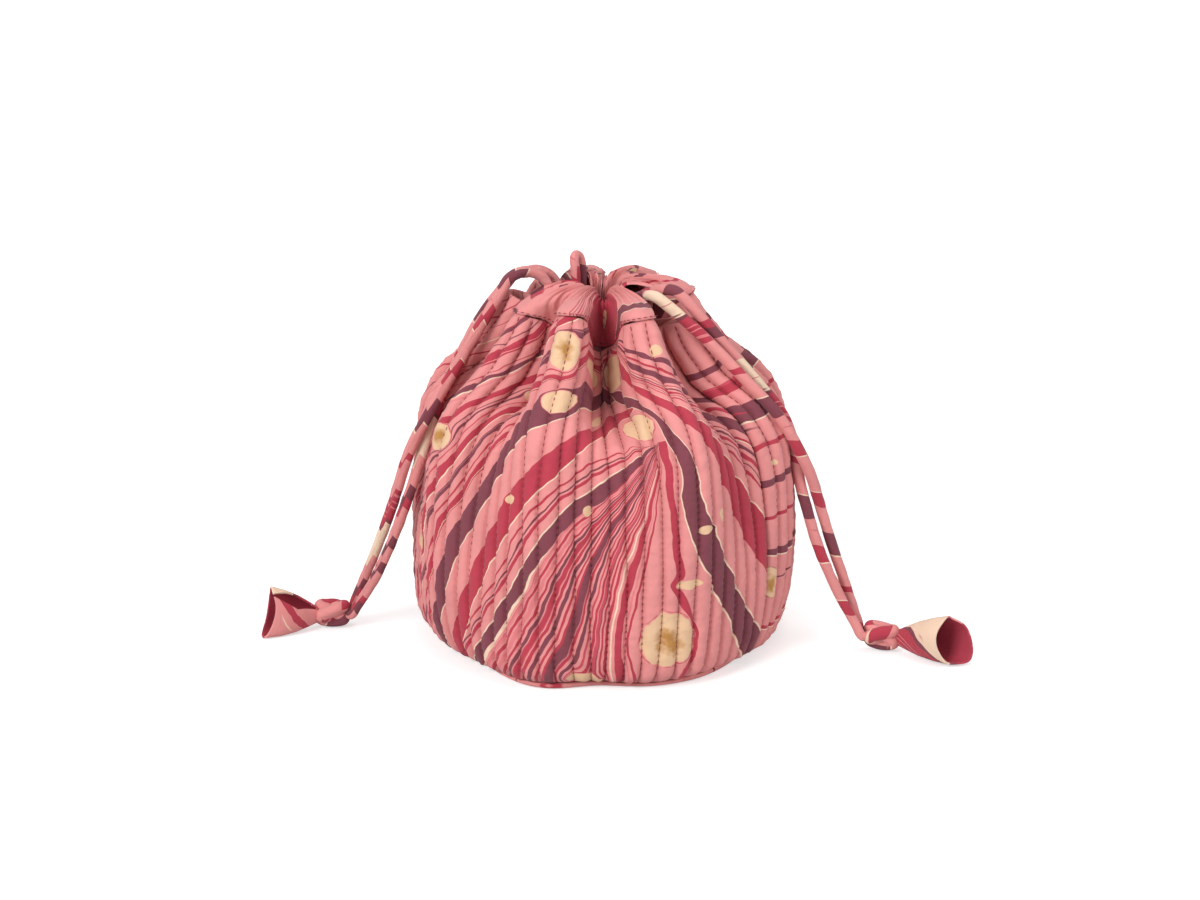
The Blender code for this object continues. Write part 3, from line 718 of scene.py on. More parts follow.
def evaluated(obj: bpy.types.Object) -> bpy.types.Object:
    """Turn an object's modifiers into plain mesh."""
    graph = bpy.context.evaluated_depsgraph_get()
    mesh = bpy.data.meshes.new_from_object(obj.evaluated_get(graph),
                                           preserve_all_data_layers=True, depsgraph=graph)
    obj.modifiers.clear()
    obj.data = mesh
    return obj


def socket_id(tree: bpy.types.NodeTree, name: str) -> str:
    """Return the identifier of a tree's input."""
    return next(item.identifier for item in tree.interface.items_tree
                if item.in_out == "INPUT" and item.name == name)


# geometry trees

@dataclass
class QuiltingRelief:
    """Raises the wadding between stitched grooves along the wall.

    Attributes:
        puff: height of the wadding in the middle of a channel.
        pucker: how far a stitch pulls the cloth in.
        stitch: length of a stitch with its gap.
        wrinkle: height of the crumples on the wadding.
        length: cloth from the base seam to the channel's seam.
    """

    puff: float = 2.5
    pucker: float = 0.50
    stitch: float = 3.3
    wrinkle: float = 1.9
    length: float = 186.0

    def tree(self) -> bpy.types.NodeTree:
        """Return the geometry tree."""
        tree = bpy.data.node_groups.new("quilting relief", "GeometryNodeTree")
        face = tree.interface
        face.new_socket("Geometry", in_out="INPUT", socket_type="NodeSocketGeometry")
        for name in ("Puff", "Pucker", "Stitch", "Wrinkle"):
            face.new_socket(name, in_out="INPUT", socket_type="NodeSocketFloat")
        face.new_socket("Material", in_out="INPUT", socket_type="NodeSocketMaterial")
        face.new_socket("Geometry", in_out="OUTPUT", socket_type="NodeSocketGeometry")
        net = Net(tree)
        ins = net.node("NodeGroupInput")
        geometry, puff, pucker, stitch, wrinkle, finish = (
            Sock(net, ins.outputs[i]) for i in range(6))

        def attribute(name: str, kind: str = "FLOAT") -> Sock:
            """Return a stored value."""
            made = net.node("GeometryNodeInputNamedAttribute", {"data_type": kind},
                            {"Name": name})
            return Sock(net, made.outputs[0])
        across, along = attribute("across"), attribute("along")
        out = attribute("out", "FLOAT_VECTOR")
        edge = (across.fn("FRACT") - 0.5).fn("ABSOLUTE") * 2.0
        pillow = (1.0 - edge * edge).fn("MAXIMUM", 0.0).fn("POWER", 0.72)
        ends = (along.fn("MINIMUM", self.length - along) / 7.0).clamp().fn("POWER", 0.6)
        index = across.fn("FLOOR")
        seat = net.combine(index * 3.7, along / 19.0, 0.0)
        swell = 1.0 + (net.noise(seat, 1.0, 1.0) - 0.5) * 0.7
        seat = net.combine(across * 1.6, along / 4.2, 3.0)
        crumple = (net.noise(seat, 1.0, 3.0, 0.55) - 0.5) * wrinkle
        near = (-((1.0 - edge) / 0.30).fn("POWER", 2.0)).fn("EXPONENT")
        tight = (along / stitch * FULL_TURN).fn("COSINE") * pucker * near
        seat = net.combine(index * 1.3 + 7.0, along / 5.6, across * 0.8)
        ripple = (net.noise(seat, 1.0, 1.0) - 0.5) * 1.1 * (1.0 - edge * 0.6)
        height = (puff * pillow * swell + crumple * pillow + tight + ripple) * ends + 0.42
        offset = net.vector("SCALE", out)
        net.tree.links.new((height * MM).socket, offset.socket.node.inputs["Scale"])
        moved = net.node("GeometryNodeSetPosition", {}, {"Geometry": geometry, "Offset": offset})
        # deep: nearness to a stitched groove, stored only so that the print can paint shade into
        # the grooves
        deep = (-((1.0 - edge) / 0.26).fn("POWER", 2.0)).fn("EXPONENT") * ends
        kept = net.node("GeometryNodeStoreNamedAttribute",
                        {"data_type": "FLOAT", "domain": "POINT"},
                        {"Geometry": Sock(net, moved.outputs[0]), "Name": "deep"})
        net.tree.links.new(deep.socket, kept.inputs["Value"])
        real = net.node("GeometryNodeRealizeInstances", {}, {0: Sock(net, kept.outputs[0])})
        done = net.node("GeometryNodeSetMaterial", {},
                        {"Geometry": Sock(net, real.outputs[0]), "Material": finish})
        net.node("NodeGroupOutput", {}, {0: Sock(net, done.outputs[0])})
        return tree

    def apply(self, obj: bpy.types.Object, material: bpy.types.Material) -> bpy.types.Object:
        """Raise the relief on an object."""
        tree = bpy.data.node_groups.get("quilting relief") or self.tree()
        mod = obj.modifiers.new("quilting", "NODES")
        mod.node_group = tree
        for name, value in (("Puff", self.puff), ("Pucker", self.pucker),
                            ("Stitch", self.stitch), ("Wrinkle", self.wrinkle),
                            ("Material", material)):
            mod[socket_id(tree, name)] = value
        evaluated(obj)
        for name in ("across", "along", "out"):
            attr = obj.data.attributes.get(name)
            if attr:
                obj.data.attributes.remove(attr)
        return obj


@dataclass
class StitchRun:
    """Lays thread pieces along guide lines at an even distance."""

    pitch: float = 3.3
    length: float = 2.35
    radius: float = 0.26

    def thread(self) -> bpy.types.Object:
        """Return one thread piece with a few dozen faces."""
        shell = Shell("thread piece")
        t = np.linspace(-1.0, 1.0, 5)
        turn = np.linspace(0, 2 * math.pi, 5, endpoint=False)
        r = self.radius * np.array([0.35, 0.9, 1.0, 0.9, 0.35])
        pts = np.zeros((5, 5, 3))
        pts[..., 0] = (t * self.length / 2)[:, None]
        pts[..., 1] = np.cos(turn)[None, :] * r[:, None]
        pts[..., 2] = np.sin(turn)[None, :] * r[:, None]
        shell.sheet(pts, np.zeros((5, 5, 2)), wrap=True, cap=True)
        return shell.build(bpy.data.materials[0])

    def tree(self) -> bpy.types.NodeTree:
        """Return the geometry tree."""
        tree = bpy.data.node_groups.new("stitch run", "GeometryNodeTree")
        face = tree.interface
        face.new_socket("Geometry", in_out="INPUT", socket_type="NodeSocketGeometry")
        face.new_socket("Pitch", in_out="INPUT", socket_type="NodeSocketFloat")
        face.new_socket("Thread", in_out="INPUT", socket_type="NodeSocketObject")
        face.new_socket("Material", in_out="INPUT", socket_type="NodeSocketMaterial")
        face.new_socket("Geometry", in_out="OUTPUT", socket_type="NodeSocketGeometry")
        net = Net(tree)
        ins = net.node("NodeGroupInput")
        geometry, pitch, thread, finish = (Sock(net, ins.outputs[i]) for i in range(4))
        curve = net.out("GeometryNodeMeshToCurve", {}, {0: geometry})
        even = net.node("GeometryNodeResampleCurve", {"mode": "LENGTH"}, {0: curve})
        net.tree.links.new(pitch.socket, even.inputs["Length"])
        info = net.out("GeometryNodeObjectInfo", {}, {"Object": thread}, "Geometry")
        tangent = net.out("GeometryNodeInputTangent")
        turned = net.out("FunctionNodeAlignRotationToVector", {"axis": "X"},
                         {"Vector": tangent})
        placed = net.node("GeometryNodeInstanceOnPoints", {},
                          {"Points": Sock(net, even.outputs[0]), "Instance": info,
                           "Rotation": turned})
        real = net.node("GeometryNodeRealizeInstances", {}, {0: Sock(net, placed.outputs[0])})
        done = net.node("GeometryNodeSetMaterial", {},
                        {"Geometry": Sock(net, real.outputs[0]), "Material": finish})
        net.node("NodeGroupOutput", {}, {0: Sock(net, done.outputs[0])})
        return tree

    def lay(self, name: str, guides: Sequence[np.ndarray],
            material: bpy.types.Material) -> bpy.types.Object:
        """Lay thread pieces along guide lines in mm.

        Args:
            name: the object's name.
            guides: arrays (n, 3).
            material: the thread's finish.
        """
        verts, edges = [], []
        for line in guides:
            start = len(verts)
            verts.extend((line * MM).tolist())
            edges.extend((start + i, start + i + 1) for i in range(len(line) - 1))
        mesh = bpy.data.meshes.new(name)
        mesh.from_pydata(verts, edges, [])
        obj = add_object(name, mesh)
        piece = self.thread()
        tree = bpy.data.node_groups.get("stitch run") or self.tree()
        mod = obj.modifiers.new("stitches", "NODES")
        mod.node_group = tree
        mod[socket_id(tree, "Pitch")] = self.pitch * MM
        mod[socket_id(tree, "Thread")] = piece
        mod[socket_id(tree, "Material")] = material
        evaluated(obj)
        bpy.data.objects.remove(piece, do_unlink=True)
        obj.data.polygons.foreach_set("use_smooth", [True] * len(obj.data.polygons))
        return obj


# the wall

@dataclass
class WallForm:
    """Middle surface of the quilted wall, which keeps the length of its cloth.

    Attributes:
        ring: radius without folds.
        channels: quilting channels around.
        fine: steps around for the surface.
        length: cloth from the base seam to the channel's seam.
        seam_az: azimuth of the right side seam.
        ridges: azimuths of the folds' ridges.
        depth: share of the swing at each ridge.
        swing: height along the cloth and swing of the tangent in radians.
        corner: height along the cloth and scale of the ring.
        lean: height along the cloth and shift towards +X.
        dents: azimuth and scale of the ring at the base.
        dent_rise: height along the cloth at which the dents end.
        pull: height along the cloth and shift of the front valley inwards.
        side_pull: share of that shift in the other valleys.
        steps: steps along the cloth for the surface.
        grid: the surface's points.
    """

    ring: float = 91.6
    channels: int = 70
    fine: int = 720
    length: float = 186.0
    seam_az: float = SEAM_AZ
    ridges: Tuple[float, ...] = (-22, 28, 70, 110, 148, 187, 222, 260, 298, 338)
    depth: Tuple[float, ...] = (1.03, 1.0, .93, .97, .95, .98, .94, .98, .95)
    swing: Tuple = ((0, .05), (20, .06), (40, .12), (60, .22), (75, .32), (90, .43),
                    (103, .55), (114, .68), (124, .84), (134, 1.03), (144, 1.23),
                    (155, 1.41), (166, 1.52), (176, 1.58), (186, 1.61))
    corner: Tuple = ((0, .925), (4, .955), (9, .985), (16, 1.0), (30, 1.004), (60, 1.008),
                     (90, 1.01), (110, 1.01), (130, 1.0), (150, .985), (165, .95),
                     (176, .885), (186, .83))
    lean: Tuple = ((0, 0), (60, 1.6), (110, 1.8), (150, .4), (186, 0))
    dents: Tuple = ((-180, 1.0), (-114, 1.0), (-93, .975), (-68, .88), (-47, .90),
                    (-31, .99), (-20, 1.03), (-12, 1.0), (-4, .93), (5, .945),
                    (14, .985), (33, .985), (44, .965), (69, .89), (84, .925),
                    (97, .99), (110, 1.0), (180, 1.0))
    dent_rise: float = 52.0
    pull: Tuple = ((0, 0), (118, 0), (133, 4.0), (145, 8.5), (157, 11.5), (166, 12.0),
                   (176, 10.0), (186, 9.5))
    side_pull: float = 0.12
    steps: int = 248
    grid: np.ndarray = field(init=False)

    def __post_init__(self) -> None:
        """Work out the surface at fine steps."""
        levels = np.linspace(0.0, self.length, self.steps + 1)
        phase, deep = self.folds()
        az = np.radians(-180.0 + 360.0 * (np.arange(self.fine) + 0.5) / self.fine)

        def table(rows: Tuple) -> np.ndarray:
            """Return a table's values at the levels."""
            at, val = zip(*rows)
            return np.interp(levels, at, val)
        swing, scale, lean = table(self.swing), table(self.corner), table(self.lean)
        kernel = np.ones(9) / 9.0
        swing = np.convolve(np.pad(swing, 4, mode="edge"), kernel, "valid")
        a = az[None, :] + swing[:, None] * deep * np.sin(2 * math.pi * phase)[None, :]
        step = 2 * math.pi * self.ring / self.fine
        flat = []
        for part in (np.cos(a), np.sin(a)):
            run = np.concatenate([np.zeros((len(levels), 1)), np.cumsum(part * step, axis=1)], 1)
            run -= run[:, -1:] * np.arange(self.fine + 1) / self.fine
            run -= run[:, :-1].mean(axis=1, keepdims=True)
            flat.append(run * scale[:, None])
        place = (np.arange(self.fine + 1)[:, None] + np.arange(-12, 13)) * 360.0 / self.fine
        dented = np.interp(place % 360.0 - 180.0, *zip(*self.dents)).mean(axis=1)
        soft = np.maximum(0.0, 1.0 - levels / self.dent_rise)[:, None] ** 2
        size = 1.0 + (dented[None, :] - 1.0) * soft
        x, y = flat[0] * size + lean[:, None], flat[1] * size
        turns = np.concatenate([phase, phase[:1]]) % 9.0
        valley = np.maximum(0.0, -np.cos(2 * math.pi * turns)) ** 1.5
        valley *= np.where(turns > 1.0, self.side_pull, 1.0)
        shrink = 1.0 - table(self.pull)[:, None] * valley[None, :] / np.hypot(x, y)
        x, y = x * shrink, y * shrink
        dv = levels[1] - levels[0]
        rise = np.sqrt(np.maximum(dv ** 2 - np.diff(x, axis=0) ** 2 - np.diff(y, axis=0) ** 2,
                                  (0.22 * dv) ** 2))
        low = 3.7 + 0.5 * np.sin(2 * math.pi * 7 * np.arange(self.fine + 1) / self.fine)
        z = np.concatenate([low[None, :], low[None, :] + np.cumsum(rise, axis=0)], axis=0)
        self.grid = np.stack([x, y, z], axis=-1)

    @property
    def half(self) -> int:
        """Return how many channels one half of the wall has."""
        return self.channels // 2

    @property
    def per_degree(self) -> float:
        """Return the cloth's length around for one degree, in mm."""
        return 2 * math.pi * self.ring / 360.0

    def folds(self) -> Tuple[np.ndarray, np.ndarray]:
        """Return fold phase and depth around."""
        az = -180.0 + 360.0 * np.arange(self.fine) / self.fine
        base = np.where(az >= self.ridges[0], az, az + 360.0)
        edges = np.array(self.ridges, dtype=float)
        k = np.clip(np.searchsorted(edges, base, side="right") - 1, 0, 8)
        part = (base - edges[k]) / (edges[k + 1] - edges[k])
        phase = k + part - np.where(az >= self.ridges[0], 0.0, 9.0)
        depth = np.array(self.depth)
        deep = depth[k] * (1 - part) + depth[(k + 1) % 9] * part
        ahead = np.concatenate([phase[-14:] - 9.0, phase, phase[:14] + 9.0])
        return np.convolve(ahead, np.ones(29) / 29.0, "valid"), deep

    def at(self, az: np.ndarray, v: np.ndarray) -> np.ndarray:
        """Return surface points at azimuths (degrees) and cloth heights (mm)."""
        f = ((az + 180.0) % 360.0) / 360.0 * self.fine
        i = np.minimum(f.astype(int), self.fine - 1)
        t = (f - i)[..., None]
        g = np.clip(v / self.length, 0.0, 1.0) * self.steps
        k = np.minimum(g.astype(int), self.steps - 1)
        u = (g - k)[..., None]
        low = self.grid[k, i] * (1 - t) + self.grid[k, i + 1] * t
        high = self.grid[k + 1, i] * (1 - t) + self.grid[k + 1, i + 1] * t
        return low * (1 - u) + high * u

    def normal(self, az: np.ndarray, v: np.ndarray) -> np.ndarray:
        """Return outward normals."""
        v = np.clip(v, 0.8, self.length - 0.8)
        du = self.at(az + 0.5, v) - self.at(az - 0.5, v)
        dv = self.at(az, v + 0.8) - self.at(az, v - 0.8)
        return unit(np.cross(du, dv))

    def groove(self, number: np.ndarray, v: np.ndarray, start: float) -> np.ndarray:
        """Return the azimuth of stitched grooves, which wander a little.

        Args:
            number: groove numbers from a panel's first edge, also between grooves.
            v: cloth heights.
            start: azimuth of the first edge.
        """
        low = np.floor(number)

        def wander(n: np.ndarray) -> np.ndarray:
            """Return the shift of whole grooves in degrees."""
            inner = ((n > 0) & (n < self.half)).astype(float)
            return inner * (0.28 * np.sin(0.043 * v + 2.39 * n + start)
                            + 0.14 * np.sin(0.11 * v + 4.1 * n))
        part = number - low
        return (start + 360.0 / self.channels * number
                + wander(low) * (1 - part) + wander(low + 1) * part)


@dataclass
class QuiltedPanel:
    """One half of the wall: print cloth, wadding and lining stitched together."""

    form: WallForm
    name: str
    start: float
    per_channel: int = 10
    rows: int = 168
    trim: float = 0.13
    lining: float = 0.95
    lift: float = 0.66
    relief: QuiltingRelief = field(default_factory=QuiltingRelief)

    def cloth(self, az: np.ndarray, v: np.ndarray) -> np.ndarray:
        """Return the place on the cloth, counted from the front or the back."""
        return np.stack([az * self.form.per_degree, v], axis=-1)

    def build(self, print_cloth: bpy.types.Material) -> bpy.types.Object:
        """Make the panel with its relief."""
        half = self.form.half
        number = np.linspace(0.0, half, half * self.per_channel + 1)
        v = np.concatenate([[0.0, 0.5], np.linspace(1.2, self.form.length - 1.2, self.rows - 4),
                            [self.form.length - 0.5, self.form.length]])
        number, v = np.meshgrid(number, v)
        az = self.form.groove(number, v, self.start)
        az = np.clip(az, self.start + self.trim, self.start + 180.0 - self.trim)
        out = self.form.normal(az, v)
        shell = Shell(self.name)
        outer = shell.sheet(self.form.at(az, v), self.cloth(az, v), across=number, along=v,
                            out=out)
        coarse, cv = np.meshgrid(
            np.linspace(self.start + self.trim, self.start + 180.0 - self.trim, half * 4 + 1),
            np.linspace(0.0, self.form.length, 84))
        inner = shell.sheet(self.form.at(coarse, cv) - self.form.normal(coarse, cv) * self.lining,
                            self.cloth(coarse, cv), flip=True)
        shell.zip(outer[0], inner[0], flip=True)
        shell.zip(outer[-1], inner[-1])
        shell.zip(outer[:, 0], inner[:, 0])
        shell.zip(outer[:, -1], inner[:, -1], flip=True)
        obj = shell.build(print_cloth)
        return self.relief.apply(obj, print_cloth)

    def stitches(self, thread: bpy.types.Material) -> bpy.types.Object:
        """Lay the quilting stitches in the grooves."""
        v = np.linspace(3.0, self.form.length - 2.5, 120)
        lines = []
        for k in range(1, self.form.half):
            az = self.form.groove(np.full_like(v, float(k)), v, self.start)
            lines.append(self.form.at(az, v) + self.form.normal(az, v) * self.lift)
        return StitchRun().lay(self.name + "_stitches", lines, thread)


@dataclass
class BasePanel:
    """Round bottom with a rounded edge and a flat underside.

    Attributes:
        form: the wall above it.
        count: points around.
        inside: height of its upper side.
        print_centre: place of its middle on the printed cloth.
    """

    form: WallForm
    count: int = 280
    inside: float = 2.2
    print_centre: Tuple[float, float] = (320.0, 107.0)

    def build(self, material: bpy.types.Material) -> bpy.types.Object:
        """Make the base."""
        az = np.linspace(-180.0, 180.0, self.count, endpoint=False)
        rim = self.form.at(az, np.zeros_like(az))
        flat = rim * np.array([1.0, 1.0, 0.0])
        away = unit(flat)
        rows = [flat * 0.01, flat * 0.5, flat - away * 6.0,
                flat - away * 2.4 + UP * 0.12,
                flat - away * 0.4 + UP * 0.45, flat + away * 0.5 + UP * 1.0,
                flat + away * 0.85 + UP * ((rim[:, 2:] - 1.2) * 0.75),
                flat + away * 0.5 + UP * (rim[:, 2:] - 0.9),
                flat - away * 1.5 + UP * (rim[:, 2:] - 1.0),
                flat - away * 5.0 + UP * self.inside, flat * 0.5 + UP * self.inside,
                flat * 0.01 + UP * self.inside]
        pts = np.stack(rows)
        shell = Shell("base_cloth")
        shell.sheet(pts, pts[..., :2] * 0.9 + np.array(self.print_centre), wrap=True, cap=True)
        return shell.build(material)


@dataclass
class Casing:
    """One half of the gathered cord channel, a soft tube with open ends.

    Attributes:
        form: the wall below it.
        name: the piece's name.
        start: azimuth of its panel's first edge.
        skip_first: quilting channels left free at that edge.
        skip_last: the same at the other edge.
        per_channel: steps for each quilting channel.
        around: points around the loop.
        thick: thickness of the cloth.
        crest: height of the loop's top.
        mouth: how far the outer side leans in towards, from the axis.
        least: distances from the axis that the outer side's three rows keep.
        over: distances of the top and of the first row inside.
        inner: distance and height of the two rows down the mouth.
        openings: azimuths where the top is notched for the cords.
        notch: width of a notch in degrees.
    """

    form: WallForm
    name: str
    start: float
    skip_first: float
    skip_last: float
    per_channel: int = 12
    around: int = 64
    thick: float = 0.8
    crest: float = 177.4
    mouth: float = 16.0
    least: Tuple[float, float, float] = (13.8, 17.3, 17.5)
    over: Tuple[float, float] = (15.2, 9.8)
    inner: Tuple[Tuple[float, float], ...] = ((8.9, 165.5), (9.2, 156.5))
    openings: Tuple[float, float] = (3.0, 177.0)
    notch: float = 15.0

    def profile(self, az: np.ndarray) -> np.ndarray:
        """Return ten points of the channel's loop at azimuths (degrees)."""
        top = np.full_like(az, self.form.length)
        seam = self.form.at(az, top)
        a = np.radians(az)
        away = np.stack([np.sin(a), -np.cos(a), np.zeros_like(a)], axis=-1)
        flat = seam * np.array([1.0, 1.0, 0.0])
        out = unit(self.form.normal(az, top) * np.array([1.0, 1.0, 0.0]))
        reach = np.linalg.norm(flat, axis=-1)
        bulge = (0.5 + 0.5 * np.clip((reach - 20.0) / 22.0, 0.0, 1.0))[:, None]
        notch = sum(np.exp(-(((az - at + 180.0) % 360.0 - 180.0) / self.notch) ** 2)
                    for at in self.openings)[:, None]
        back = np.maximum(0.0, -np.cos(a))[:, None]
        crest = self.crest + 1.5 * bulge + 2.0 * back - 5.0 * notch
        low = seam[:, 2:] + 1.2
        lift = crest - low

        def mix(k: float, z: np.ndarray, side: np.ndarray, least: float) -> np.ndarray:
            """Return a point between the seam and the mouth at a height."""
            p = flat * (1 - k) + away * self.mouth * k + side
            far = np.linalg.norm(p, axis=-1, keepdims=True)
            return p * np.maximum(1.0, least / far) + UP * z
        soft = unit(out * 0.6 + away * 0.4)
        inner = (away * 13.0) * 0.65 + flat * 0.35 - out * 0.8
        return np.stack([flat + out * 0.9 + UP * low,
                         mix(.10, low + lift * .34, out * 1.4, self.least[0]),
                         mix(.32, low + lift * .68, soft * 1.5, self.least[1]),
                         mix(.60, low + lift * .92, away * 1.2, self.least[2]),
                         away * self.over[0] + UP * crest,
                         away * self.over[1] + UP * (crest - 2.6),
                         *(away * far + UP * z for far, z in self.inner),
                         inner + UP * (low + 1.5 + 0.7 * (157.0 - low)),
                         flat - out * 0.9 + UP * low])

    def build(self, material: bpy.types.Material) -> bpy.types.Object:
        """Make the casing."""
        half = self.form.half
        span = half - self.skip_first - self.skip_last
        count = int(span * self.per_channel) + 1
        number = np.linspace(self.skip_first, half - self.skip_last, count)
        az = self.start + 360.0 / self.form.channels * number
        loop = catmull(self.profile(az), self.around, closed=True)
        du = np.gradient(loop, axis=1)
        dt = np.roll(loop, -1, axis=0) - np.roll(loop, 1, axis=0)
        out = unit(np.cross(du, dt))
        t = np.linspace(0.0, 1.0, self.around, endpoint=False)[:, None]
        n = number[None, :]
        drift = lattice_noise(n / 3.1 + 0 * t, t * 5.0 + 0 * n, 5) * 0.45
        gather = np.sin(2 * math.pi * (n / 2.0 + drift))
        fine = np.sin(2 * math.pi * (n + drift * 1.6))
        show = np.clip(np.sin(math.pi * np.clip(t / 0.62, 0.0, 1.0)), 0.0, 1.0)
        lump = lattice_noise(n / 1.1 + 0 * t, t * 14.0 + 0 * n, 8)
        width = np.linalg.norm(np.gradient(loop, axis=1), axis=-1) * self.per_channel
        crowd = np.clip(1.0 - width / 8.22, 0.0, 1.0)
        shift = show * (0.30 * gather + 0.22 * lump) + (0.10 + 1.15 * crowd ** 1.5) * fine
        outer_pts = loop + out * shift[..., None]
        length = np.cumsum(np.linalg.norm(np.diff(loop, axis=0, prepend=loop[:1]), axis=-1), axis=0)
        cloth = np.stack([np.broadcast_to(az[None, :] * self.form.per_degree, length.shape),
                          self.form.length + length], axis=-1)
        inner_pts = loop - out * self.thick
        shell = Shell(self.name)
        wrapped = np.concatenate([outer_pts, outer_pts[:1]], axis=0)
        cloth_w = np.concatenate([cloth, cloth[-1:] + np.array([0.0, 2.0])], axis=0)
        outer = shell.sheet(wrapped.transpose(1, 0, 2), cloth_w.transpose(1, 0, 2), flip=True)
        coarse = inner_pts[::2, ::3]
        coarse = np.concatenate([coarse, coarse[:1]], axis=0)
        cloth_c = np.concatenate([cloth[::2, ::3], cloth[-1:, ::3]], axis=0)
        inner = shell.sheet(coarse.transpose(1, 0, 2), cloth_c.transpose(1, 0, 2))
        shell.zip(outer[0], inner[0], flip=True)
        shell.zip(outer[-1], inner[-1])
        return shell.build(material)

    def stitches(self, thread: bpy.types.Material) -> bpy.types.Object:
        """Lay the seam stitches just above the wall."""
        half = self.form.half
        step = 360.0 / self.form.channels
        az = np.linspace(self.start + step * self.skip_first + 0.6,
                         self.start + 180.0 - step * self.skip_last - 0.6, 900)
        top = np.full_like(az, self.form.length)
        seam = self.form.at(az, top)
        out = unit(self.form.normal(az, top) * np.array([1.0, 1.0, 0.0]))
        line = seam + out * 1.9 + UP * 1.9
        return StitchRun(pitch=3.0, length=2.0).lay(self.name + "_stitches", [line], thread)


# cords, knots, ends

CORD_RADIUS = 2.9
CORD_SPACING = 6.4                    # between the points of a strand
RAYS = 8                              # that look for the sides of a cord's section
CASING_REACH = 27.0                   # from the axis to just outside the openings
# degrees off the opening, distance and height above the turn, in metres
LEAD = ((20.0, 0.0147, 0.0004), (12.5, 0.0185, 0.0032), (8.8, 0.0245, 0.0076))


@dataclass(frozen=True)
class CordRoute:
    """Where one cord runs, by the points that the part's source has, in metres.

    Attributes:
        node: the cord's plain solid in the frame.
        gap_az: azimuth in degrees of the opening where the cord leaves.
        level: height of its turn through both channels.
        slack: points (degrees off the other opening, distance, height above the
            turn) of the slack that stands out there, for one side.
        free: points of each free strand, from the opening to the knot.
    """

    node: str
    gap_az: float
    level: float
    slack: Tuple[Point, ...]
    free: Dict[str, Tuple[Point, ...]]
    turn_far: float = 0.0134
    wide: float = 30.0
    spacing: float = 12.0

    @staticmethod
    def polar(az: float, far: float, z: float) -> Point:
        """Return the point at an azimuth in degrees, a distance and a height."""
        return (math.sin(math.radians(az)) * far, -math.cos(math.radians(az)) * far, z)

    def turn(self) -> List[Point]:
        """Return the points of the turn through both channels."""
        other = self.gap_az + 180.0
        reach = max(off for off, _, _ in self.slack) + self.spacing / 2
        first = np.arange(self.gap_az + self.wide, other - reach, self.spacing)
        last = np.arange(self.gap_az + 360.0 - self.wide, other + reach, -self.spacing)
        bulge = [(-off, far, up) for off, far, up in self.slack]
        bulge += [(off, far, up) for off, far, up in reversed(self.slack) if off]
        return ([self.polar(az, self.turn_far, self.level) for az in first]
                + [self.polar(other + off, far, self.level + up) for off, far, up in bulge]
                + [self.polar(az, self.turn_far, self.level) for az in reversed(last)])

    def run(self, letter: str) -> Tuple[np.ndarray, int]:
        """Return a strand's whole course in mm, and where it comes out of the cloth."""
        sign, end = (1, 0) if letter == "a" else (-1, -1)
        points = [self.turn()[end]]
        points += [self.polar(self.gap_az + sign * off, far, self.level + up)
                   for off, far, up in LEAD]
        points += self.free[letter]
        path = catmull(np.array(points) / MM, len(points) * 12)
        return path, int(np.argmax(np.hypot(path[:, 0], path[:, 1]) >= CASING_REACH))

    def inside(self) -> np.ndarray:
        """Return the path inside the channels in mm, from one strand to the other."""
        one, out_one = self.run("a")
        two, out_two = self.run("b")
        ring = self.turn()
        ring = catmull(np.array(ring) / MM, len(ring) * 8)
        return np.concatenate([one[out_one:0:-1], ring, two[1:out_two + 1]])

    @staticmethod
    def middle(tree: BVHTree, point: np.ndarray, ahead: np.ndarray) -> np.ndarray:
        """Return the middle of the cord's section round a point inside it."""
        side = unit(np.cross(ahead, UP))
        up = np.cross(side, ahead)
        hits = []
        for angle in np.arange(RAYS) * (2 * math.pi / RAYS):
            way = math.cos(angle) * side + math.sin(angle) * up
            hit = tree.ray_cast(Vector(point), Vector(way), 2.5 * CORD_RADIUS)[0]
            if hit is not None:
                hits.append(np.array(hit))
        if len(hits) < RAYS:
            return point
        # the hits' mean lies half of the way from the point to the middle
        return 2.0 * np.mean(hits, axis=0) - point

    def strand(self, letter: str, step: float = 3.0) -> np.ndarray:
        """Return a free strand's path in mm, along the middle of the cord's solid.

        Args:
            letter: which strand, a or b.
            step: spacing of the sections that are looked at.
        """
        mesh = bpy.data.objects[self.node].data
        tree = BVHTree.FromPolygons([v.co / MM for v in mesh.vertices],
                                    [tuple(p.vertices) for p in mesh.polygons])
        path, out = self.run(letter)
        path = evenly(path[out:], step)
        found = [path[0]]
        ahead = unit(path[1] - path[0])
        for before, point in zip(path, path[1:-1]):
            # the search starts beside the route as far off as at the point before
            middle = point + (found[-1] - before)
            for _ in range(3):
                middle = self.middle(tree, middle, ahead)
            ahead = unit(middle - found[-1])
            found.append(middle)
        while np.dot(path[-1] - found[-1], ahead) < step:
            found.pop()
        return evenly(np.array(found + [path[-1]]), CORD_SPACING)


@dataclass
class Strand:
    """A free strand of cord from the channel's opening to its knot."""

    name: str
    route: np.ndarray
    into: Point
    seed: int
    diameter: float = 5.8
    spacing: float = 1.2

    def path(self) -> np.ndarray:
        """Return the centreline in mm."""
        points = np.concatenate([self.route, [np.array(self.into) / MM]])
        return evenly(catmull(points, len(points) * 12), self.spacing)

    def build(self, material: bpy.types.Material) -> bpy.types.Object:
        """Make the strand."""
        path = self.path()
        radius = np.interp(np.linspace(0.0, 1.0, len(path)), (0, .03, .55, .9, 1),
                           (2.4, 2.8, 2.8, 2.45, 2.3))
        return tube(self.name, path, radius, material, start=self.seed * 57.0,
                    lumps=0.07, seed=self.seed)

    def declare(self) -> None:
        path = self.path() * MM


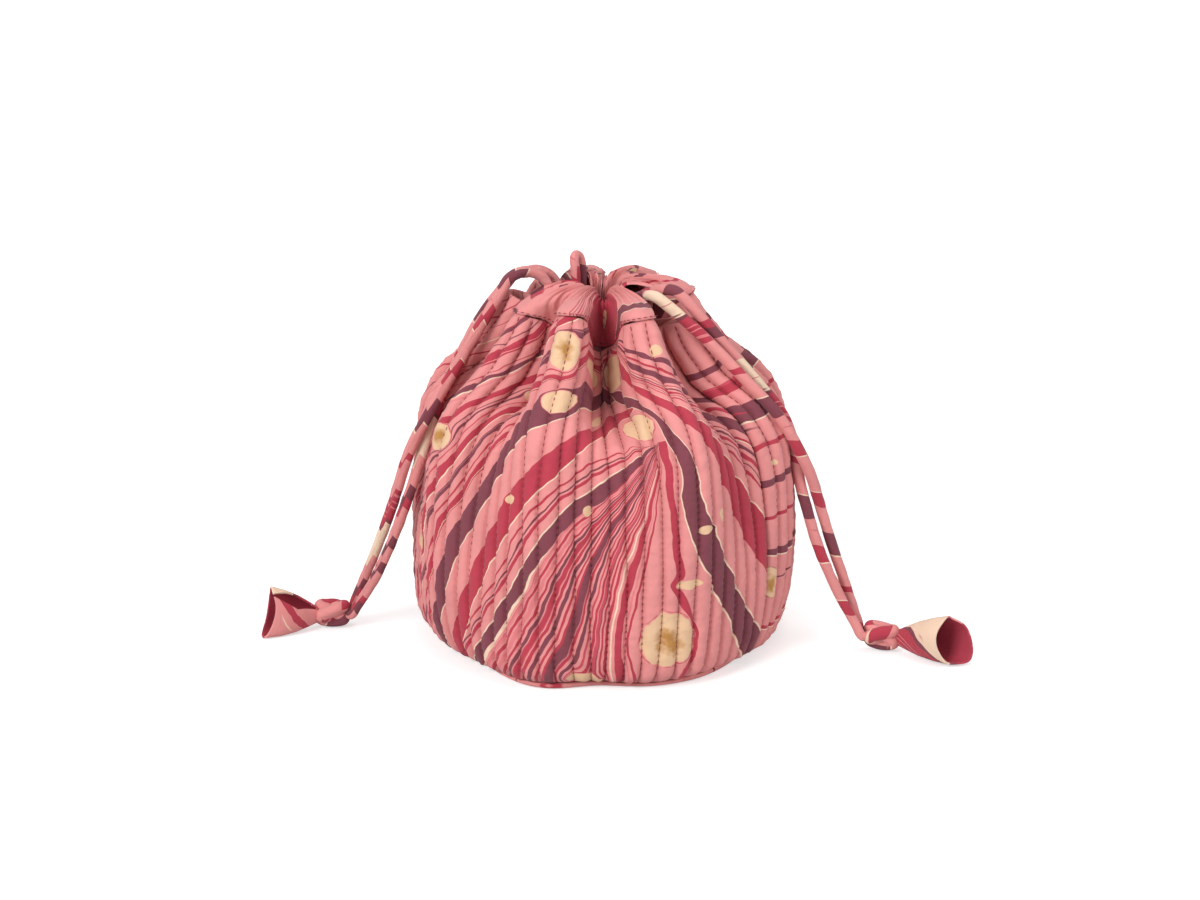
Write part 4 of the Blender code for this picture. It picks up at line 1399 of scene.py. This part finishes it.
@dataclass
class Turn:
    """The turn of a cord through both channels."""

    name: str
    route: np.ndarray
    seed: int
    radius: float = 2.3
    spacing: float = 0.55

    def build(self, material: bpy.types.Material) -> bpy.types.Object:
        """Make the turn."""
        path = evenly(self.route, self.spacing)
        return tube(self.name, path, np.full(len(path), self.radius), material,
                    start=self.seed * 31.0, lumps=0.05, seed=self.seed)


@dataclass
class Knot:
    """Overhand knot that joins the two strands, with soft cloth lumps.

    Attributes:
        name: the piece's name.
        centre: its middle.
        axis: direction from the strands to the bell.
        long: size along the axis.
        wide: size across it.
        cord: radius of the cord that it is tied from.
        depth: how far before the middle the strands end.
    """

    name: str
    centre: Point
    axis: Point
    long: float = 18.0
    wide: float = 15.4
    cord: float = 3.15
    depth: float = 4.6

    @property
    def entry(self) -> Point:
        """Return where the strands go into the knot, in metres."""
        axis = unit(np.array(self.axis, dtype=float))
        return tuple(float(c) for c in (np.array(self.centre) - axis * self.depth) * MM)

    def build(self, material: bpy.types.Material) -> bpy.types.Object:
        """Make the knot as one closed tube on a trefoil course."""
        axis = unit(np.array(self.axis, dtype=float))
        side, up = beside(axis)
        t = np.linspace(0.0, 2 * math.pi, 120, endpoint=False)
        size = (self.wide / 2 - 3.1) / 3.0
        x = (np.sin(t) + 2 * np.sin(2 * t)) * size
        y = (np.cos(t) - 2 * np.cos(2 * t)) * size
        z = -np.sin(3 * t) * (self.long / 2 - 3.3)
        path = (np.array(self.centre) + x[:, None] * side + y[:, None] * up
                + z[:, None] * axis)
        path = np.concatenate([path, path[:1]])
        return tube(self.name, path, np.full(len(path), self.cord), material, lumps=0.10, seed=11,
                    sides=20)


@dataclass
class Bell:
    """Folded tulip-shaped cloth end, a thin shell open at its mouth.

    Attributes:
        name: the piece's name.
        root: where it comes out of the knot.
        mouth: middle of its open end.
        wide: width at the mouth.
        tall: height at the mouth.
        slit: widest angle between its two edges, in radians.
        flap: share of the length by which one lip reaches past the mouth.
        turn: angle of that lip in radians.
        shift: place of its print on the cloth.
        opening: angle of the slit in radians.
        pinch: share by which the mouth is pressed narrower.
        thick: thickness of the cloth.
        rows: points along.
        columns: points around.
        flat: size of the piece of cloth that its print is laid on.
    """

    name: str
    root: Point
    mouth: Point
    wide: float = 19.0
    tall: float = 25.5
    slit: float = 0.0
    flap: float = 0.0
    turn: float = 3.5
    shift: float = 0.0
    opening: float = math.pi / 2
    pinch: float = 0.0
    thick: float = 0.9
    rows: int = 34
    columns: int = 96
    flat: Tuple[float, float] = (66.0, 30.0)

    def skin(self, thin: float) -> np.ndarray:
        """Return the points of one side of the cloth."""
        root, mouth = np.array(self.root), np.array(self.mouth)
        axis = unit(mouth - root)
        side, up = beside(axis)
        t = np.linspace(0.0, 1.0, self.rows)[:, None]
        gap = 0.04 + self.slit * np.interp(t, (0, .12, .55, .9, 1), (0, .35, 1.0, .35, .1))
        share = np.linspace(0.0, 1.0, self.columns)[None, :]
        a = self.opening + gap + share * 2 * (math.pi - gap)
        r = np.interp(t, (0.0, .18, .42, .70, 1.0), (.30, .48, .70, .88, 1.0))
        lap = 1.0 + 0.05 * t * np.sin(2 * a + 0.6) + 0.03 * t * np.sin(5 * a)
        w = self.wide / 2 * r * lap * (1.0 - self.pinch * t ** 2) - thin
        h = self.tall / 2 * r * lap - thin
        tip = np.maximum(t, 0.05 if thin else 0.0) * (1.0 - 0.05 * np.cos(2 * a))
        tip = tip + self.flap * t ** 3 * np.maximum(0.0, np.cos(a - self.turn))
        p = (root + (mouth - root) * tip[..., None]
             + side * (np.cos(a) * w)[..., None] + up * (np.sin(a) * h)[..., None])
        p[..., 2] = np.maximum(p[..., 2], 0.25 + thin)
        return p

    def build(self, outside: bpy.types.Material, inside: bpy.types.Material) -> bpy.types.Object:
        """Make the shell, print outside and dyed cloth inside."""
        outer, inner = self.skin(0.0), self.skin(self.thick)
        shell = Shell(self.name)
        a, t = np.meshgrid(np.linspace(0.0, self.flat[0], self.columns),
                           np.linspace(0.0, self.flat[1], self.rows))
        cloth = np.stack([t * 1.2 + a * 0.5 + self.shift, a * 0.3 - t], axis=-1)
        one = shell.sheet(outer, cloth, flip=True)
        two = shell.sheet(inner, cloth)
        faces = [len(f) for f in shell.faces]
        for row in (0, -1):
            shell.zip(one[row], two[row], flip=row == -1)
            shell.zip(one[:, row], two[:, row], flip=row == 0)
        obj = shell.build(outside)
        obj.data.materials.append(inside)
        marks = np.zeros(len(obj.data.polygons), dtype=np.int32)
        marks[faces[0]:faces[0] + faces[1]] = 1
        obj.data.polygons.foreach_set("material_index", marks)
        return obj


CORD_ROUTES = {
    "right": CordRoute(
        "right_cord", SEAM_AZ, 0.1682,
        slack=((27, 0.0134, 0), (18.5, 0.0134, 0.0006), (12.8, 0.0132, 0.0050),
               (12.4, 0.0132, 0.0110), (12.4, 0.0136, 0.0160), (8.8, 0.0143, 0.0204),
               (0, 0.0146, 0.0218)),
        free={
            "a": (
            (0.0344, -0.0180, 0.1793), (0.0431, -0.0150, 0.1728), (0.0509, -0.0140, 0.1643),
            (0.0538, -0.0160, 0.1576), (0.0581, -0.0180, 0.1518), (0.0620, -0.0190, 0.1461),
            (0.0673, -0.0200, 0.1399), (0.0721, -0.0210, 0.1351), (0.0760, -0.0220, 0.1298),
            (0.0818, -0.0230, 0.1227), (0.0887, -0.0240, 0.1116), (0.0928, -0.0250, 0.0981),
            (0.0958, -0.0270, 0.0859), (0.0992, -0.0300, 0.0744), (0.1012, -0.0320, 0.0633),
            (0.1038, -0.0340, 0.0503), (0.1101, -0.0325, 0.0337), (0.1157, -0.0319, 0.0245),
            (0.1221, -0.0334, 0.0150), (0.1275, -0.0342, 0.0088)),
            "b": (
            (0.0276, -0.0245, 0.1776), (0.0352, -0.0260, 0.1734), (0.0439, -0.0240, 0.1668),
            (0.0536, -0.0225, 0.1570), (0.0560, -0.0240, 0.1512), (0.0598, -0.0255, 0.1460),
            (0.0646, -0.0270, 0.1398), (0.0694, -0.0280, 0.1336), (0.0737, -0.0300, 0.1279),
            (0.0776, -0.0310, 0.1217), (0.0845, -0.0310, 0.1097), (0.0906, -0.0280, 0.1001),
            (0.0978, -0.0240, 0.0923), (0.1019, -0.0220, 0.0854), (0.1035, -0.0215, 0.0790),
            (0.1061, -0.0220, 0.0706), (0.1101, -0.0230, 0.0610), (0.1122, -0.0240, 0.0531),
            (0.1153, -0.0248, 0.0404), (0.1215, -0.0247, 0.0271), (0.1256, -0.0267, 0.0160),
            (0.1278, -0.0287, 0.0074))}),
    "left": CordRoute(
        "left_cord", SEAM_AZ + 180.0, 0.1624,
        slack=((30, 0.0134, 0), (22, 0.0152, 0), (12, 0.0186, 0), (0, 0.0200, 0)),
        free={
            "a": (
            (-0.0302, 0.0120, 0.1795), (-0.0379, 0.0080, 0.1813), (-0.0460, 0.0030, 0.1800),
            (-0.0540, -0.0020, 0.1725), (-0.0561, -0.0060, 0.1564),
            (-0.0658, -0.0100, 0.1453), (-0.0761, -0.0120, 0.1290),
            (-0.0843, -0.0140, 0.1200), (-0.0908, -0.0150, 0.1077),
            (-0.0953, -0.0160, 0.0970), (-0.0965, -0.0160, 0.0853),
            (-0.1002, -0.0150, 0.0736), (-0.1026, -0.0120, 0.0587),
            (-0.1075, -0.0080, 0.0487), (-0.1140, -0.0032, 0.0359),
            (-0.1215, 0.0009, 0.0246), (-0.1249, 0.0037, 0.0150), (-0.1252, 0.0047, 0.0080)),
            "b": (
            (-0.0284, 0.0200, 0.1790), (-0.0371, 0.0170, 0.1788), (-0.0462, 0.0130, 0.1790),
            (-0.0565, 0.0100, 0.1690), (-0.0584, 0.0040, 0.1524), (-0.0672, 0.0000, 0.1417),
            (-0.0760, -0.0030, 0.1300), (-0.0838, -0.0060, 0.1184),
            (-0.0898, -0.0080, 0.1038), (-0.0906, -0.0140, 0.0921),
            (-0.0924, -0.0200, 0.0821), (-0.0966, -0.0200, 0.0688),
            (-0.0998, -0.0190, 0.0560), (-0.1026, -0.0168, 0.0450),
            (-0.1076, -0.0113, 0.0328), (-0.1130, -0.0070, 0.0234),
            (-0.1194, -0.0038, 0.0140), (-0.1249, -0.0014, 0.0076))}),
}

FRONT_STONES = (
    Stone(30.4, 27, 13.2, True), Stone(-31, 169, 6.2, True, 1.6), Stone(22.0, 131, 7.5),
    Stone(-8, 167, 4.6), Stone(-27.2, 145, 7.0, False, 0.9), Stone(-3.2, 141, 3.2),
    Stone(-96.7, 117, 6.6, True), Stone(-44, 95, 2.9), Stone(-8, 90, 2.4),
    Stone(42.4, 168, 3.0), Stone(37.6, 51, 5.2, False, 0.5), Stone(44.8, 78, 3.4, False, 0.6),
    Stone(54.4, 84, 2.6, False, 1.5), Stone(-7.0, 9, 9.0, False, 0.4),
    Stone(14.0, 168.0, 5.5, False, 1.5), Stone(-70.0, 150.0, 3.0),
    Stone(-112.0, 60.0, 6.0, True))
BACK_STONES = (
    Stone(95.0, 44.0, 4.6, True, 1.7), Stone(101.0, 103.0, 1.8), Stone(130.0, 90.0, 7.0, True),
    Stone(170.0, 50.0, 9.0), Stone(215.0, 120.0, 7.0, True), Stone(250.0, 60.0, 9.0, True),
    Stone(300.0, 100.0, 6.0), Stone(190.0, 150.0, 5.0))
CASING_STONES = (Stone(8.0, 199.0, 2.6, False, 2.2), Stone(-54.0, 197.0, 1.8),
                 Stone(120.0, 200.0, 5.0, True), Stone(220.0, 205.0, 4.0))


# stage

@dataclass
class Studio:
    """Camera, lights, floor and surroundings."""

    distance: float = 1.6
    elevation: float = 17.5
    view_width: float = 21.24
    aim_height: float = 0.089

    def camera(self) -> None:
        """Place the camera at the photo's angle."""
        e = math.radians(self.elevation)
        aim = Vector((-0.00075, self.aim_height * math.sin(e), self.aim_height * math.cos(e)))
        data = bpy.data.cameras.new("camera")
        data.sensor_width = 36.0
        data.lens = 18.0 / math.tan(math.radians(self.view_width / 2))
        obj = add_object("camera", data)
        obj.location = aim - Vector((0.0, math.cos(e), -math.sin(e))) * self.distance
        obj.rotation_euler = (math.radians(90.0) - e, 0.0, 0.0)
        bpy.context.scene.camera = obj

    def lamp(self, name: str, place: Point, aim: Point, size: float, power: float) -> None:
        """Add a soft square light."""
        data = bpy.data.lights.new(name, "AREA")
        data.size = size
        data.energy = power
        obj = add_object(name, data)
        obj.location = place
        obj.rotation_euler = (Vector(aim) - Vector(place)).to_track_quat("-Z", "Y").to_euler()

    def floor(self) -> None:
        """Lay a pale floor that fades to white and keeps the soft shadow."""
        material, net = new_material("floor")
        path = net.node("ShaderNodeLightPath")
        seen = Sock(net, path.outputs["Is Camera Ray"])
        paint = net.out("ShaderNodeBsdfDiffuse", {}, {"Color": (0.72, 0.72, 0.72, 1.0)})
        place = net.out("ShaderNodeTexCoord", {}, {}, "Object")
        gone = ((net.vector("LENGTH", place, port=1) - 0.35) / 1.6).clamp()
        glow = net.out("ShaderNodeEmission", {}, {"Color": (1, 1, 1, 1),
                                                  "Strength": seen * (gone * 0.8 + 0.53)})
        both = net.out("ShaderNodeAddShader", {}, {0: paint, 1: glow})
        net.node("ShaderNodeOutputMaterial", {}, {0: both})
        mesh = bpy.data.meshes.new("floor")
        mesh.from_pydata([(-6, -6, 0), (6, -6, 0), (6, 6, 0), (-6, 6, 0)], [], [(0, 1, 2, 3)])
        mesh.materials.append(material)
        obj = add_object("floor", mesh)

    def sky(self) -> None:
        """Set a white background with even soft light."""
        world = bpy.data.worlds.new("studio")
        world.use_nodes = True
        net = Net(world.node_tree)
        world.node_tree.nodes.clear()
        path = net.node("ShaderNodeLightPath")
        seen = Sock(net, path.outputs["Is Camera Ray"])
        back = net.out("ShaderNodeBackground", {}, {
            "Color": (1.0, 1.0, 1.0, 1.0), "Strength": seen * 0.62 + 0.38})
        net.node("ShaderNodeOutputWorld", {}, {0: back})
        bpy.context.scene.world = world

    def build(self) -> None:
        """Set up the whole stage."""
        self.camera()
        self.floor()
        self.sky()
        self.lamp("key", (-1.0, -1.3, 1.05), (0.0, 0.0, 0.08), 0.7, 24.0)
        self.lamp("top", (0.2, 0.1, 1.8), (0.0, 0.0, 0.05), 1.2, 10.0)
        self.lamp("fill", (1.3, -0.9, 0.8), (0.0, 0.0, 0.08), 1.0, 9.0)
        bpy.context.scene.view_settings.view_transform = "Standard"


def fit(obj: bpy.types.Object, node: str) -> bpy.types.Object:
    """Let a piece ride on the pouch in place of a CAD node."""
    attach(obj, "root")
    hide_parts(node)
    LOG.info("%s: %d faces", obj.name, len(obj.data.polygons))
    return obj


def dress_cords(cord_print: bpy.types.Material, inside: bpy.types.Material) -> None:
    """Build the cords with their knots and ends."""
    ends = {
        "right": (Knot("right_knot_cloth", (137.2, -31.3, 8.1), (1, -.12, 0)),
                  Bell("right_bell_cloth", (144.9, -32.6, 7.2), (168.0, -50.0, 12.4),
                       wide=18.6, tall=25.0, flap=0.30, shift=55.0)),
        "left": (Knot("left_knot_cloth", (-134.4, 1.2, 8.1), (-1, -.20, 0)),
                 Bell("left_bell_cloth", (-141.9, -0.9, 7.2), (-164.6, -12.8, 13.0),
                      tall=27.0, slit=0.5, shift=47.0,
                      opening=2.2, pinch=0.45)),
    }
    for number, side in enumerate(("right", "left")):
        knot, bell = ends[side]
        route = CORD_ROUTES[side]
        lump = fit(knot.build(cord_print), side + "_knot")
        flower = fit(bell.build(cord_print, inside), side + "_bell")
        for letter in "ab":
            name = "%s_strand_%s" % (side, letter)
            strand = Strand(name, route.strand(letter), knot.entry,
                            seed=3 + number * 2 + (letter == "b"))
            obj = fit(strand.build(cord_print), side + "_cord")
            strand.declare()
        turn = Turn(side + "_turn", route.inside(), seed=8 + number)
        fit(turn.build(cord_print), side + "_cord")


def main() -> None:
    """Build the whole pouch on its frame."""
    Studio().build()
    cord_print = MarbledCloth("cord print", Bands.CORD, weave=0.2).build()
    inside = PlainCloth("crimson inside", "a83a4a").build()
    thread = PlainCloth("quilting thread", "9c4a54", 0.7, 0.1).build()
    front_print = MarbledCloth("front print", Bands.FEATHER, FRONT_STONES).build()
    back_print = MarbledCloth("back print", Bands.LEVEL, BACK_STONES).build()
    casing_print = MarbledCloth("casing print", Bands.GATHERED, CASING_STONES).build()
    dress_cords(cord_print, inside)

    form = WallForm()
    halves = ((QuiltedPanel(form, "front_quilting", form.seam_az - 180.0), "front_panel",
               front_print),
              (QuiltedPanel(form, "back_quilting", form.seam_az), "back_panel", back_print))
    for panel, node, finish in halves:
        obj = fit(panel.build(finish), node)
        seams = panel.stitches(thread)
        fit(seams, node)
    casings = ((Casing(form, "front_channel", form.seam_az - 180.0, 6.2, 4.6), "front_casing"),
               (Casing(form, "back_channel", form.seam_az, 4.6, 4.6), "back_casing"))
    for casing, node in casings:
        obj = fit(casing.build(casing_print), node)
        seams = casing.stitches(thread)
        fit(seams, node)
    base = fit(BasePanel(form).build(back_print), "base_panel")


if __name__ == "__main__":
    logging.basicConfig(level=logging.INFO, format="%(name)s %(message)s")
    main()
